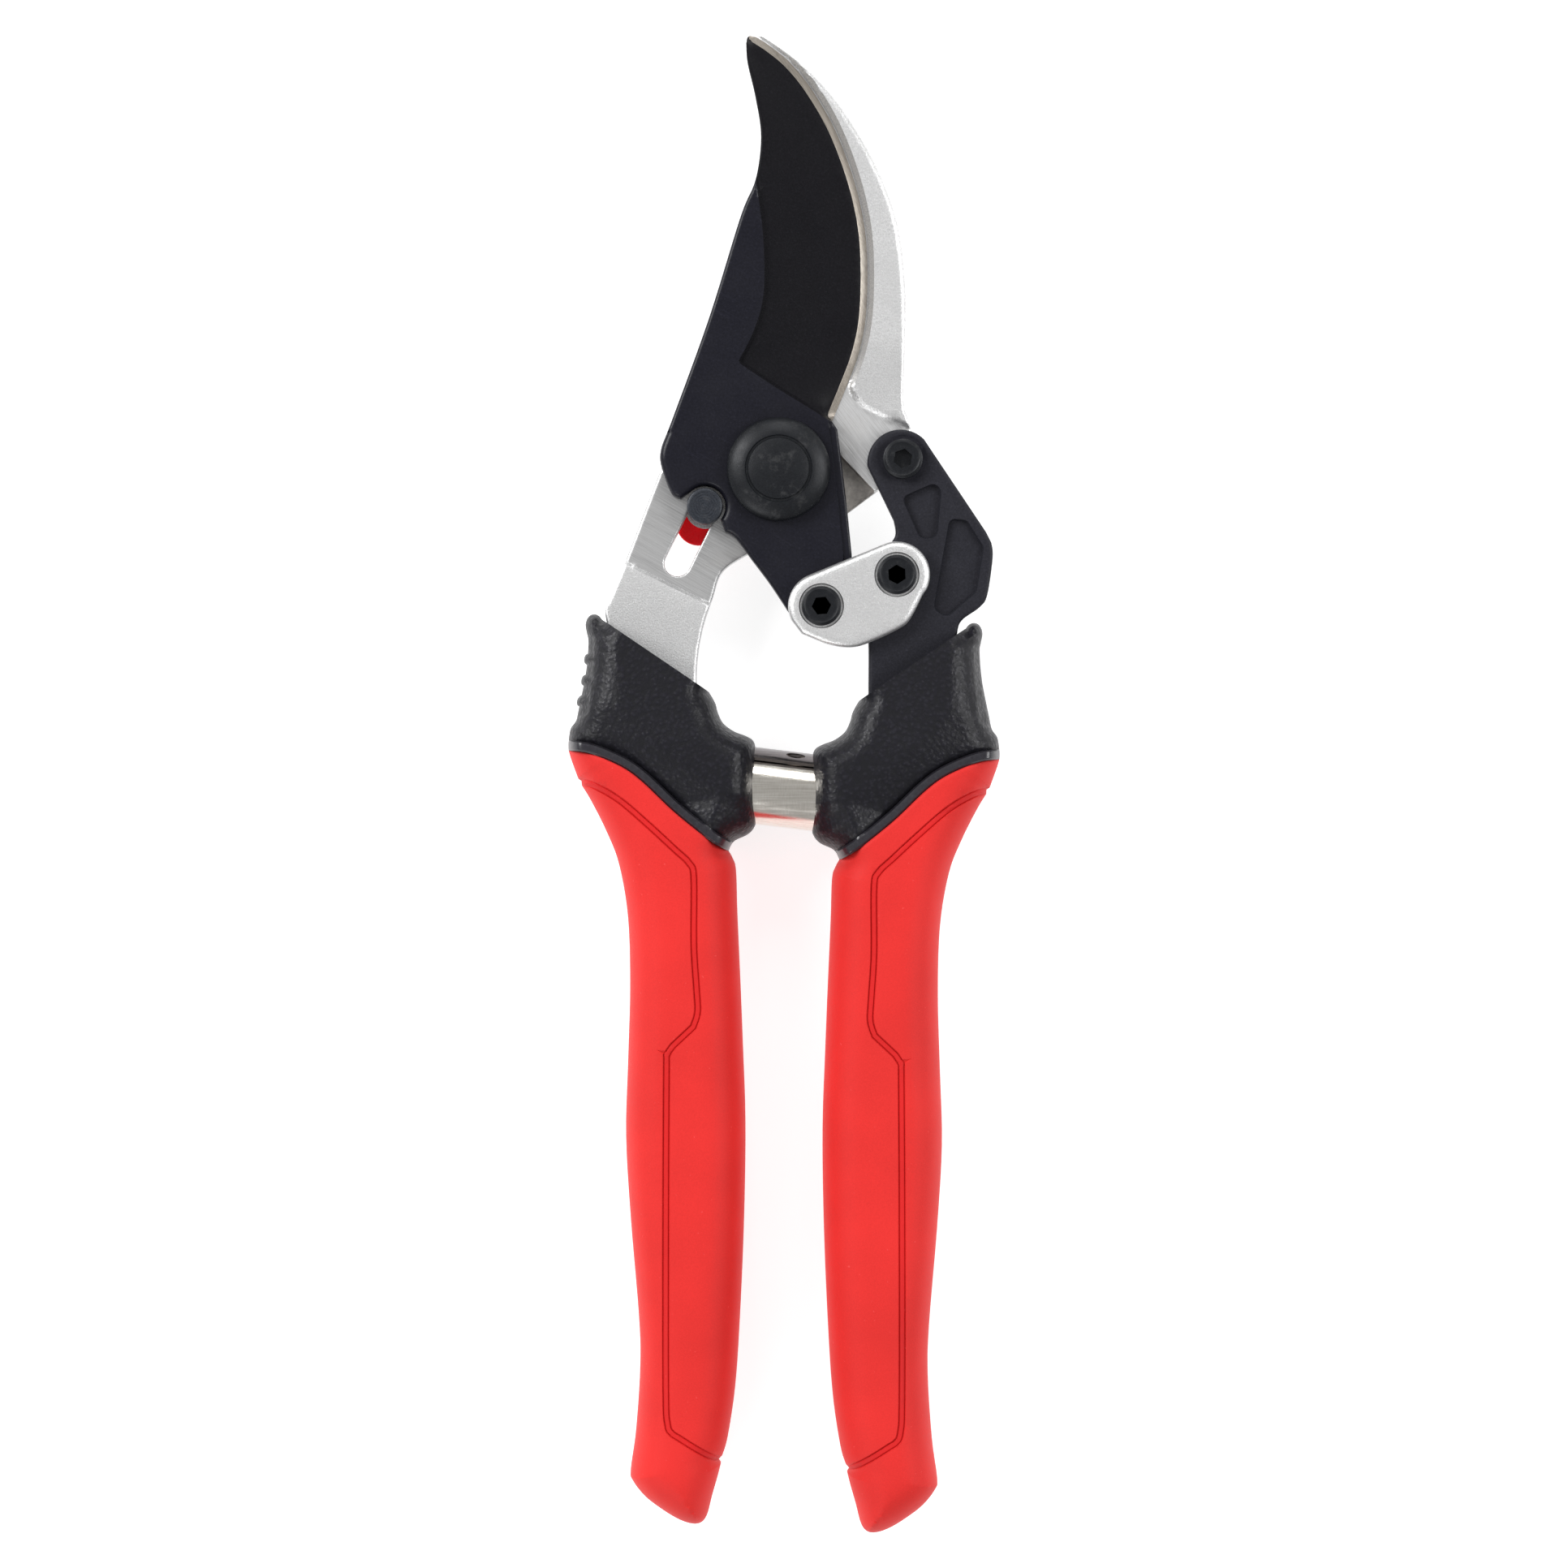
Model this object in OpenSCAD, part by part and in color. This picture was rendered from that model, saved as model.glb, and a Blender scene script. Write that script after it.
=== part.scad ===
// Compound-action bypass pruning shears, lying flat, closed and locked. Millimetres.
// +Y runs to the tip of the blade, +X to the lever side, +Z away from the resting surface.
// The origin is the middle of the outline in X and Y, and the resting surface in Z.

/* [Steel] */
// Height of the underside of the hook forging above the resting surface
hook_z = 5.6; // [5.2:0.1:6]
// Thickness of the hook forging where the blade slides on it
hook_t = 4.4; // [4:0.1:4.6]
// How far the cast rim of the hook stands above that face
rim_t = 1.4; // [0.8:0.1:1.8]
// Thickness of the cutting blade and of the lever's head
blade_t = 3.2; // [2.8:0.1:3.4]
// Depth of the ground face in the top of the blade
grind_t = 0.8; // [0.4:0.1:1.2]
// Thickness of the link plate
link_t = 2.4; // [2:0.1:2.8]
// Gap between plates that slide on each other
slide_gap = 0.05; // [0.03:0.01:0.08]

/* [Pivots] */
// Diameter of the main pivot bolt's shank
bolt_d = 8; // [7:0.5:9]
// Diameter of the main pivot bolt's domed head
bolt_head_d = 15.2; // [14:0.1:16]
// Diameter of the lever screw's shank
lever_screw_d = 4.4; // [4:0.1:5]
// Diameter of the shanks of the two link screws
link_screw_d = 4; // [3.6:0.1:4.2]
// Diameter of the heads of the three socket screws
screw_head_d = 5.8; // [5.6:0.1:6]
// Across-flats size of the hexagonal sockets
socket_af = 2.5; // [2:0.1:3]
// Radial running clearance of a shank in its bore
run_gap = 0.05; // [0.03:0.01:0.08]
// Radial clearance of the blade tail's screw in the link, which takes up the linkage's error
open_gap = 0.25; // [0.2:0.01:0.3]

/* [Lock] */
// Diameter of the round lock button
button_d = 5.3; // [5:0.1:5.4]
// Width of the slot that the lock slides in
slot_w = 3.9; // [3.7:0.1:4.1]

/* [Spring] */
// Outer diameter of the wound return spring
spring_d = 12; // [11.4:0.1:12.2]
// Width of the spring's strip, along its axis
spring_w = 12.4; // [11:0.1:12.6]
// Thickness of the spring's strip
strip_t = 0.6; // [0.5:0.05:0.7]
// Turns in the wound strip
spring_turns = 3.25; // [2:0.25:3.5]

/* [Handles] */
// Thickness of the two grips
grip_t = 18.4; // [17:0.1:20]
// Thickness of the steel tangs inside the handles
tang_t = 5; // [4.6:0.1:5.2]
// How much lower the right handle sits than the left one
handle_drop = 1.3; // [1.1:0.1:1.5]

/* [Hidden] */
$fn = 64;

// Pivot centres with the shears closed
main_pivot = [-0.8, 46.4];
lever_pivot = [17.5, 47.9];
tail_pivot = [5.5, 26.2];
link_pivot = [16.6, 30.8];

// The lock's place when shut, and with the shears free to open
lock_shut = [-11.7, 41];
lock_free = [-15.8, 32.7];
lock_travel = norm(lock_free - lock_shut);
lock_angle = atan2(lock_free.y - lock_shut.y, lock_free.x - lock_shut.x);

// Levels of the stacked plates
shear_z = hook_z + hook_t;
rim_z = shear_z + rim_t;
blade_z = shear_z + slide_gap;
blade_top = blade_z + blade_t;
link_z = blade_top + slide_gap;
link_top = link_z + link_t;
sink = 0.6;                         // depth of the link's counterbores
recess_z = hook_z + 3;              // top of the recessed corner behind the lever
recess = [[7.8, 49.2], [15.4, 41.4], [11, 37], [3, 35], [6, 45]];
tang_top = hook_z + tang_t;
neck_z = 7.4;                       // underside of the lever's neck and tang
grip_mid = grip_t / 2 - 0.1;        // the grips' mid plane, which leaves a narrow flat to rest on

// Bolt, screw and nut sizes
bolt_foot = 0.5;
bolt_rim = 1;
bolt_dome = 3.3;
bolt_ring_r = 4.7;                  // plain turned groove in the head
bolt_ring = 0.5;
bolt_ring_z = 2.7;                  // its floor, above the head's underside
main_nut_af = 13;
main_nut_t = 4.7;
washer_t = 0.6;
washer_gap = 0.15;                  // round the shank inside a washer
washer_over = 0.5;                  // how far the main washer shows beyond its nut
lever_nut_af = 7;
small_nut_af = 6.4;
small_nut_t = 2.5;
thread_gap = 0.02;
low_head = 1.1;
cheese_head = 1.8;
head_bevel = 0.3;
socket_depth = 1.4;
sink_gap = 0.3;                     // round the heads sunk into the link
bite = 0.1;                         // how far a shank runs into its head
peen_t = 0.4;
pin_r = 1.8;                        // the lock button's pin, in its slot
peen_r = 2.4;
button_bevel = 0.4;
slider_t = 1.6;
slider_r = 3.4;
slider_reach = 2.3;
lock_washer_r = 3;
slider_z = hook_z - washer_t - slider_t - slide_gap;

// Spring seats moulded into the collars
seat_depth = 2.9;
seat_r = spring_d / 2 + 0.2;
nub_r = 2;
nub_low = 0.4;                      // how far the nub in each seat ends below its mouth
seat_y = -0.3;                      // Y of the left seat's axis
turn_gap = 0.18;                    // between the strip's nested turns
strip_end = 43;                     // where the outer turn ends, round from the +Y side
spring_tilt = 7;                    // the axis slopes down from the left seat to the right one
collar_face = 4.15;                 // X of each collar's inner face

function unit(v) = v / norm(v);
function polar(r, a) = r * [cos(a), sin(a)];
function arc(c, r, from, to, n = 12) = [for (i = [0:n]) c + polar(r, from + (to - from) * i / n)];
function mirrored(p) = [for (q = p) [-q.x, q.y]];
function dropped(p) = [for (q = p) [q.x, q.y - handle_drop]];
function reversed(p) = [for (i = [len(p) - 1:-1:0]) p[i]];

// An open line moved sideways, to its right where d is positive
function beside(p, d) = [for (i = [0:len(p) - 1])
    let (t = unit(p[min(i + 1, len(p) - 1)] - p[max(i - 1, 0)])) p[i] + d * [t.y, -t.x]];

// A smooth curve through points of any dimension, n steps to a span (Catmull-Rom)
function spline(p, n = 4) = let (last = len(p) - 1) concat(
    [for (i = [0:last - 1], k = [0:n - 1])
        let (a = p[max(i - 1, 0)], b = p[i], c = p[i + 1], d = p[min(i + 2, last)], t = k / n)
        (2 * b + (c - a) * t + (2 * a - 5 * b + 4 * c - d) * t * t
            + (3 * b - a - 3 * c + d) * t * t * t) / 2],
    [p[last]]);

// A polygon's corners [x, y, r], each rounded to its radius r
function rounded(c, n = 5) = [for (i = [0:len(c) - 1], k = [0:n])
    let (q = [c[i].x, c[i].y], r = c[i].z,
        before = c[(i + len(c) - 1) % len(c)], after = c[(i + 1) % len(c)],
        u = unit([before.x, before.y] - q), v = unit([after.x, after.y] - q),
        half = acos(u * v) / 2, centre = q + unit(u + v) * r / sin(half),
        from = q + u * r / tan(half) - centre, to = q + v * r / tan(half) - centre,
        start = atan2(from.y, from.x), turn = atan2(from.x * to.y - from.y * to.x, from * to))
    centre + polar(r, start + turn * k / n)];

// Hook: its outer edge from the tip down, and its inner edge, which the blade covers
hook_outer = spline([[-4, 110.7], [-2.9, 110.5], [1.8, 107.2], [5.4, 103.8], [9.3, 98.9],
    [13.7, 91.3], [16.8, 82.7], [18, 72.1], [17.7, 57.6], [18.3, 54.2], [19, 52]]);
hook_inner = spline([[-12, 54.5], [-4, 57], [1.5, 55], [5, 57], [7.8, 62], [9.2, 69], [9.4, 76],
    [8.4, 84.5], [6.2, 91.2], [3, 97.8], [-1, 104.2], [-4.5, 109.6]]);
// Arm: its two edges above the left handle
arm_right = spline([[9.1, 39.9], [5, 38.4], [-0.5, 36.6], [-5.1, 34.2], [-9.1, 31.5], [-10.6, 27.5],
    [-12.1, 22.8], [-12.9, 17.4], [-12.8, 12]], 3);
arm_left = spline([[-25.4, 12], [-25.6, 20], [-26.5, 25.7], [-25.8, 27.4], [-23.3, 33.5],
    [-18.4, 46.2], [-16.5, 50.5]], 3);
head_outline = concat(hook_outer, arc(lever_pivot, 4.4, 55, -125), arm_right, arm_left, hook_inner);

// Tang of the left handle; the lever's is its mirror image
tang = concat([[-12.8, 12]],
    spline([[-12.4, 6], [-12, -4], [-11.4, -14], [-10.8, -28], [-10.6, -60]], 3),
    arc([-14.6, -84], 3.4, 0, -180),
    spline([[-19.2, -60], [-18.9, -28], [-19.5, -14], [-22, -4], [-24.6, 6]], 3), [[-25.4, 12]]);
// Where the arm changes from its machined face to its full thickness
arm_outline = concat([[-11, 27]], [for (p = arm_right) if (p.y < 26.9) p], tang,
    [for (p = arm_left) if (p.y < 33) p], [[-23.4, 33.1]]);
// The slot that both handles have for their tang, open at the top
tang_socket = concat([[-10.5, 30]], [for (p = arm_right) if (p.y < 26.9) p], tang,
    [for (p = arm_left) if (p.y < 25.6) p], [[-26.7, 26], [-26.7, 30]]);

// Blade: its back from the tip down to the shoulder, its cutting edge from the heel up
blade_back = spline([[-5.6, 109.4], [-5.4, 106.6], [-4.2, 101.4], [-3.4, 95.6], [-4.2, 89.2],
    [-6.4, 83.8], [-11.1, 68.7], [-16.4, 54.1], [-18.2, 49.3], [-18, 46.4], [-16.6, 42.9],
    [-15.3, 42.1]]);
cutting_edge = spline([[7.5, 54.6], [9.2, 58.7], [10.95, 63.4], [12.05, 68.6], [12.35, 75.5],
    [11.95, 82.2], [10.4, 89.2], [7.6, 96.7], [4.1, 102.8], [0.95, 106.7], [-1.9, 109.1],
    [-4.2, 110.6]]);
notch_gap = 0.4;                    // round the lock button
notch = arc(lock_shut, button_d / 2 + notch_gap, 135, -40);
tail_left = spline([[-8.7, 37.2], [-7.1, 36.2], [-4.7, 33], [-2, 29.4], [1.1, 24.7]], 3);
blade_body = concat(notch, tail_left, arc(tail_pivot, 4.7, 205, 360),
    [[10, 33.9], [9.3, 40.9], [8.4, 48.3], [7.9, 52.4], [7.2, 53.4]]);
blade_outline = concat(blade_back, blade_body, cutting_edge, arc([-4.9, 110.1], 0.6, 60, 170, 5));
// The spine stays at full thickness behind the ground face
grind_edge = spline([[-4.2, 89.2], [-3.1, 81], [-3, 72.5], [-4.4, 67], [-6.8, 62.2]], 3);
spine_outline = concat([for (p = blade_back) if (p.y < 89) p], blade_body,
    reversed(grind_edge));

// The hook's rim stands up beside the closed blade, as far down as its machined face
rim_gap = 0.12;
rim_inner = concat(
    reversed([for (p = beside(cutting_edge, rim_gap)) if (p.y > 59 && p.y < 106.9) p]),
    spline([[9.4, 58.8], [9.9, 57.4], [11.5, 55.7], [13.2, 54.8], [15.1, 53.9], [17, 53.2],
        [18.4, 52.8]], 3));
rim_outer = [for (p = hook_outer) if (p.x > 1.6 && p.y > 53) p];

// Lever: its head from the left of its pivot round to the neck
lever_head = concat(arc([17.2, 47.4], 4.9, 185, 45), [[29.8, 37.2]],
    spline([[30.6, 35.6], [30.8, 33.4], [30, 27.9], [28.9, 26.1], [26.4, 24.3], [25.6, 22.6]], 3));
lever_left = spline([[12.5, 21], [12, 27], [12.4, 31], [14.6, 34.2], [16.4, 36.6], [16.2, 38.9]], 3);
neck_top = 22.4;
neck_outline = concat([[25.4, neck_top], [12.6, neck_top]], dropped(mirrored(tang)));
neck_foot = 9;
neck_left = 12.5;
neck_right = 25.6;
pocket_small = rounded([[17.3, 42.3, 1], [23.4, 45, 1.3], [22.6, 36.2, 1.2], [20, 36.2, 1.2]]);
pocket_large = rounded([[24.4, 39.2, 1], [27, 38.9, 1], [29.5, 34.9, 1], [28.4, 28.3, 1.2],
    [24, 24.5, 1.2], [22, 25.8, 1.2]]);
pocket_depth = 0.8;

// Link: round ends about its two pivots, and a full lower edge
link_slant = atan2(link_pivot.y - tail_pivot.y, link_pivot.x - tail_pivot.x);
link_outline = concat(arc(tail_pivot, 4.9, link_slant + 90, 205),
    spline([[2.6, 22.1], [6.6, 20.5], [10, 20.1], [13, 21], [17, 22.9], [18.6, 24.3], [20.4, 27.8]], 3),
    arc(link_pivot, 4.9, -25, link_slant + 90));

// Handles: [y, outer x, inner x, half thickness] of the left one's sections
collar_sections = [[25.2, -28.2, -11.5, 6.6], [24, -28.9, -11.4, 6.8], [21, -29.2, -11.2, 7.2],
    [14, -30.1, -11, 8], [12.4, -30.3, -10.2, 8.2], [10.8, -30.5, -9.7, 8.4], [9.6, -30.7, -9.1, 8.5],
    [8.6, -31.3, -8.3, 8.6], [7.5, -31.8, -6.4, 8.8], [6.4, -31.9, -4.6, 8.9],
    [5.4, -31.9, -4.2, 9], [3, -31.6, -4.15, 9.2], [-4.8, -27.2, -4.15, 9.3],
    [-6.8, -26.3, -4.4, 9.3], [-8.1, -25.8, -5.8, 9.3], [-9.2, -25.4, -7.5, 9.3],
    [-11.5, -24.5, -7.4, 9.3]];
grip_sections = [[5.4, -31.9, -7.6, 9.1], [3.6, -31.7, -7.6, 9.2], [0, -30.1, -7.7, 9.3],
    [-2.4, -28.5, -7.8, 9.3], [-7.2, -26.2, -7.8, 9.3], [-12, -24.4, -7.3, 9.3],
    [-19.8, -23.1, -6.9, 9.2], [-28, -22.8, -6.5, 9.2], [-40.2, -23.1, -5.9, 9.3],
    [-52, -23.4, -5.7, 9.3], [-64.2, -22.7, -5.9, 9.3], [-78.6, -21.5, -6.5, 9.2],
    [-85.8, -21.3, -6.9, 9.1], [-95.4, -21.9, -8, 9.2], [-101.4, -22.7, -9, 9.2],
    [-103.4, -22.1, -9.4, 9.1], [-105.3, -20.6, -9.9, 8.7], [-107.1, -18.3, -10.3, 7.8],
    [-108.6, -15.9, -10.8, 6.2], [-109.4, -13.9, -11.4, 4.4], [-109.6, -13, -12, 3]];
section_power = 2.7;                // 2 is an ellipse, and more is squarer
section_points = 24;

// The line where each collar meets its grip, and the cut across each collar's top
seam = spline([[-34, 4.9], [-28.9, 4.6], [-26.1, 3.6], [-23.1, 2.1], [-20.4, 0], [-16.1, -4.1],
    [-11.1, -8.1], [-7.7, -10.3], [-2, -13]], 3);
collar_top = [[-29, 25.6], [-26.9, 24.6], [-2, 7.6]];

module plate(from, to) translate([0, 0, from]) linear_extrude(to - from) children();
module at(p, z = 0) translate([p.x, p.y, z]) children();
module bore(p, d) at(p, -1) cylinder(d = d, h = grip_t + 2);

// A long closed shape through sections across Y, each a squared ellipse
module loft(sections) {
    s = spline(sections, 2);
    n = section_points;
    points = [for (q = s, i = [0:n - 1])
        let (a = 360 * i / n, c = cos(a), d = sin(a))
        [(q[1] + q[2]) / 2 + (q[2] - q[1]) / 2 * sign(c) * pow(abs(c), 2 / section_power),
            q[0],
            grip_mid + q[3] * sign(d) * pow(abs(d), 2 / section_power)]];
    sides = [for (j = [0:len(s) - 2], i = [0:n - 1], half = [0, 1])
        let (k = (i + 1) % n, a = j * n, b = a + n)
        half == 0 ? [a + i, b + k, a + k] : [a + i, b + i, b + k]];
    caps = [[for (i = [0:n - 1]) i], [for (i = [n - 1:-1:0]) (len(s) - 1) * n + i]];
    polyhedron(points, concat(sides, caps));
}

// The same handle for both sides: the right one is the left one's mirror image, a little lower
module right_side() translate([0, -handle_drop, 0]) mirror([1, 0, 0]) children();
module above_rest() plate(0, grip_t + 2) translate([-40, -120]) square([80, 160]);

module hook_frame() color("silver") difference() {
    union() {
        plate(hook_z, shear_z) polygon(head_outline);
        plate(shear_z, rim_z) polygon(concat(rim_outer, reversed(rim_inner)));
        plate(hook_z, tang_top) polygon(arm_outline);
    }
    bore(main_pivot, bolt_d + 2 * run_gap);
    bore(lever_pivot, lever_screw_d + 2 * thread_gap);
    plate(recess_z, shear_z + 1) polygon(recess);
    lock_slot();
}

module lock_slot() at(lock_shut) rotate(lock_angle) {
    translate([0, -slot_w / 2, 0]) cube([lock_travel, slot_w, shear_z + 1]);
    cylinder(d = slot_w, h = shear_z + 1);
    translate([lock_travel, 0, 0]) cylinder(d = slot_w, h = shear_z + 1);
}

module cutting_blade() color([0.10, 0.10, 0.13]) difference() {
    union() {
        plate(blade_z, blade_top - grind_t) polygon(blade_outline);
        plate(blade_z, blade_top) polygon(spine_outline);
    }
    bore(main_pivot, bolt_d + 2 * run_gap);
    bore(tail_pivot, link_screw_d + 2 * thread_gap);
}

module lever() color([0.16, 0.16, 0.18]) difference() {
    union() {
        plate(blade_z, blade_top) polygon(concat(lever_head, lever_left));
        plate(neck_z, blade_top) polygon([[neck_left, neck_top], [neck_right, neck_top],
            [neck_right, neck_foot], [neck_left, neck_foot]]);
        plate(neck_z, neck_z + tang_t) polygon(neck_outline);
    }
    bore(lever_pivot, lever_screw_d + 2 * run_gap);
    bore(link_pivot, link_screw_d + 2 * thread_gap);
    plate(blade_top - pocket_depth, blade_top + 1) polygon(pocket_small);
    plate(blade_top - pocket_depth, blade_top + 1) polygon(pocket_large);
}

module link_plate() color([0.8, 0.8, 0.8]) difference() {
    plate(link_z, link_top) polygon(link_outline);
    bore(tail_pivot, link_screw_d + 2 * open_gap);
    bore(link_pivot, link_screw_d + 2 * run_gap);
    for (p = [tail_pivot, link_pivot])
        at(p, link_top - sink) cylinder(d = screw_head_d + 2 * sink_gap, h = sink + 1);
}

module pivot_bolt() color([0.08, 0.08, 0.08]) at(main_pivot) {
    r = bolt_head_d / 2;
    rotate_extrude() difference() {
        polygon(concat([[0, bolt_foot], [bolt_d / 2, bolt_foot], [bolt_d / 2, link_z], [r, link_z],
            [r, link_z + bolt_rim]],
            [for (a = [10:10:80]) [r * cos(a), link_z + bolt_rim + (bolt_dome - bolt_rim) * sin(a)]],
            [[0, link_z + bolt_dome]]));
        translate([bolt_ring_r, link_z + bolt_ring_z]) square([bolt_ring, 1]);
    }
}

// A hexagonal nut on a pivot, between two levels
module nut(p, from, to, af, d) at(p, from) difference() {
    cylinder(d = af / cos(30), h = to - from, $fn = 6);
    translate([0, 0, -1]) cylinder(d = d + 2 * thread_gap, h = to - from + 2);
}

// A socket screw: a shank from its end up to the head's seat, and a bevelled head
module screw(p, end, seat, d, head_t) at(p) difference() {
    union() {
        translate([0, 0, end]) cylinder(d = d, h = seat - end + bite);
        translate([0, 0, seat]) cylinder(d = screw_head_d, h = head_t - head_bevel);
        translate([0, 0, seat + head_t - head_bevel])
            cylinder(d1 = screw_head_d, d2 = screw_head_d - 2 * head_bevel, h = head_bevel);
    }
    translate([0, 0, seat + head_t - socket_depth])
        cylinder(d = socket_af / cos(30), h = socket_depth + 1, $fn = 6);
}

module pivot_nut() color([0.1, 0.1, 0.1]) nut(main_pivot, 0, main_nut_t, main_nut_af, bolt_d);
module pivot_washer() color([0.3, 0.3, 0.32]) at(main_pivot, hook_z - washer_t - slide_gap)
    difference() {
        cylinder(d = main_nut_af + 2 * washer_over, h = washer_t);
        translate([0, 0, -1]) cylinder(d = bolt_d + 2 * washer_gap, h = washer_t + 2);
    }

module lever_screw() color([0.08, 0.08, 0.08])
    screw(lever_pivot, hook_z - small_nut_t, link_z, lever_screw_d, cheese_head);
module lever_nut() color([0.1, 0.1, 0.1])
    nut(lever_pivot, hook_z - slide_gap - small_nut_t, hook_z - slide_gap, lever_nut_af, lever_screw_d);

// Both link screws clamp through the link into a nut behind the plate
module small_screw(p) color([0.08, 0.08, 0.1])
    screw(p, shear_z - small_nut_t, link_top - sink + slide_gap, link_screw_d, low_head);
module small_nut(p) color([0.1, 0.1, 0.1])
    nut(p, shear_z - small_nut_t, shear_z, small_nut_af, link_screw_d);
module tail_screw() small_screw(tail_pivot);
module tail_nut() small_nut(tail_pivot);
module link_screw() small_screw(link_pivot);
module link_nut() small_nut(link_pivot);

module lock_button() color([0.12, 0.13, 0.16]) at(lock_shut) rotate_extrude() polygon([
    [0, slider_z - peen_t], [peen_r, slider_z - peen_t], [peen_r, slider_z - thread_gap],
    [pin_r, slider_z - thread_gap], [pin_r, blade_z], [button_d / 2, blade_z],
    [button_d / 2, blade_top], [button_d / 2 - button_bevel, blade_top + button_bevel],
    [0, blade_top + button_bevel]]);
module lock_washer() color([0.6, 0.6, 0.62])
    at(lock_shut, hook_z - washer_t + thread_gap) difference() {
        cylinder(r = lock_washer_r, h = washer_t - 3 * thread_gap);
        translate([0, 0, -1]) cylinder(r = pin_r + washer_gap, h = washer_t + 2);
    }
module lock_slider() color([0.85, 0.08, 0.08]) difference() {
    at(lock_shut, slider_z) rotate(lock_angle) linear_extrude(slider_t)
        polygon(concat(arc([0, 0], slider_r, 90, 270), arc([slider_reach, 0], slider_r, -90, 90)));
    bore(lock_shut, 2 * pin_r + 2 * thread_gap);
}

// A strip wound up flat, its turns nested inside one another
module return_spring() color([0.75, 0.75, 0.76])
    translate([0, seat_y - handle_drop / 2, grip_mid]) rotate([90, 0, 90 - spring_tilt])
        linear_extrude(spring_w, center = true) {
            per_turn = 24;
            pitch = strip_t + turn_gap;
            wall = [for (i = [0:per_turn * spring_turns])
                [spring_d / 2 - strip_t - pitch * i / per_turn, strip_end - 360 * i / per_turn]];
            polygon(concat([for (w = wall) polar(w[0] + strip_t, w[1])],
                reversed([for (w = wall) polar(w[0], w[1])])));
        }

module collar(tang_z) difference() {
    intersection() {
        loft(collar_sections);
        above_rest();
        plate(-1, grip_t + 2) polygon(concat(reversed(seam), [[-34, 30]], collar_top));
    }
    plate(tang_z - slide_gap, tang_z + tang_t + slide_gap) polygon(tang_socket);
    translate([-collar_face - seat_depth, seat_y, grip_mid]) rotate([0, 90, 0]) difference() {
        cylinder(r = seat_r, h = seat_depth + 3);
        cylinder(r = nub_r, h = seat_depth - nub_low);
    }
}

module grip(tang_z) difference() {
    intersection() {
        loft(grip_sections);
        above_rest();
        plate(-1, grip_t + 2) polygon(concat(seam, [[-2, -115], [-34, -115]]));
    }
    plate(tang_z - slide_gap, tang_z + tang_t + slide_gap) polygon(tang_socket);
}

module left_collar() color([0.13, 0.13, 0.16]) collar(hook_z);
module right_collar() color([0.13, 0.13, 0.16]) difference() {
    right_side() collar(neck_z);
    plate(neck_z - slide_gap, blade_top + slide_gap) polygon([[neck_left - slide_gap, 30],
        [neck_left - slide_gap, neck_foot - slide_gap],
        [neck_right + slide_gap, neck_foot - slide_gap], [neck_right + slide_gap, 30]]);
}
module left_grip() color([0.93, 0.16, 0.15]) grip(hook_z);
module right_grip() color([0.93, 0.16, 0.15]) right_side() grip(neck_z);

hook_frame();
cutting_blade();
pivot_bolt();
pivot_washer();
pivot_nut();
lever();
lever_screw();
lever_nut();
link_plate();
tail_screw();
tail_nut();
link_screw();
link_nut();
lock_button();
lock_washer();
lock_slider();
return_spring();
left_collar();
right_collar();
left_grip();
right_grip();
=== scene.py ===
"""Looks for the pruning shears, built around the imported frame.

Lengths are millimetres until make() turns them to metres."""
import math

import bpy
import numpy as np
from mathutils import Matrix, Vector
from mathutils.geometry import delaunay_2d_cdt


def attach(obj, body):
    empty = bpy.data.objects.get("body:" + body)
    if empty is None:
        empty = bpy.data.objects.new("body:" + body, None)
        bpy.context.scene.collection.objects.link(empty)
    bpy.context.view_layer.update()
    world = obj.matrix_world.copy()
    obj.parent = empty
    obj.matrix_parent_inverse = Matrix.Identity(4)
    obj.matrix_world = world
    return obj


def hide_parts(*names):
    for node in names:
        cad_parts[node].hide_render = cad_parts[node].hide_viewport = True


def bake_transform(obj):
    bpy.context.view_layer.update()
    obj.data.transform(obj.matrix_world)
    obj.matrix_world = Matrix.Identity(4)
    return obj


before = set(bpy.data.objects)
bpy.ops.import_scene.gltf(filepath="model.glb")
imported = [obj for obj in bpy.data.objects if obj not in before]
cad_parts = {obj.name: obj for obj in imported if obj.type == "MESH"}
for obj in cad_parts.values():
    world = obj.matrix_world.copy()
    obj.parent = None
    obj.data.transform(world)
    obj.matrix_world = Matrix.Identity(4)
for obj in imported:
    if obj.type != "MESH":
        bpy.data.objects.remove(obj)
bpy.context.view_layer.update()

MM = 0.001

# Levels of the stacked plates, as in the CAD
HOOK_Z = 5.6
SHEAR_Z = 10.0
RIM_T = 1.4
ARM_Z = 10.6
CORNER_Z = 8.6
BLADE_Z = 10.05
BLADE_TOP = 13.25
NECK_Z = 7.4
LINK_Z = 13.3
LINK_TOP = 15.7
GRIP_MID = 9.1
HANDLE_DROP = 1.3
FLOOR_GAP = 0.02

# Seats and heights of the fasteners' heads and nuts
BOLT_SEAT = 13.3
LEVER_HEAD = 1.8
LINK_SEAT = 15.15
LINK_HEAD = 1.1
LEVER_NUT_Z = (3.05, 5.55)
LINK_NUT_Z = (7.5, 10.0)
MAIN_NUT_Z = (0, 4.7)
LINK_NUT_FLATS = 6.4
LINK_NUT_BORE = 4

MAIN_PIVOT = (-0.8, 46.4)
LEVER_PIVOT = (17.5, 47.9)
TAIL_PIVOT = (5.5, 26.2)
LINK_PIVOT = (16.6, 30.8)
LOCK_SHUT = (-11.7, 41.0)
LOCK_FREE = (-15.8, 32.7)


# ---------------------------------------------------------------- curves and distances

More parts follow.
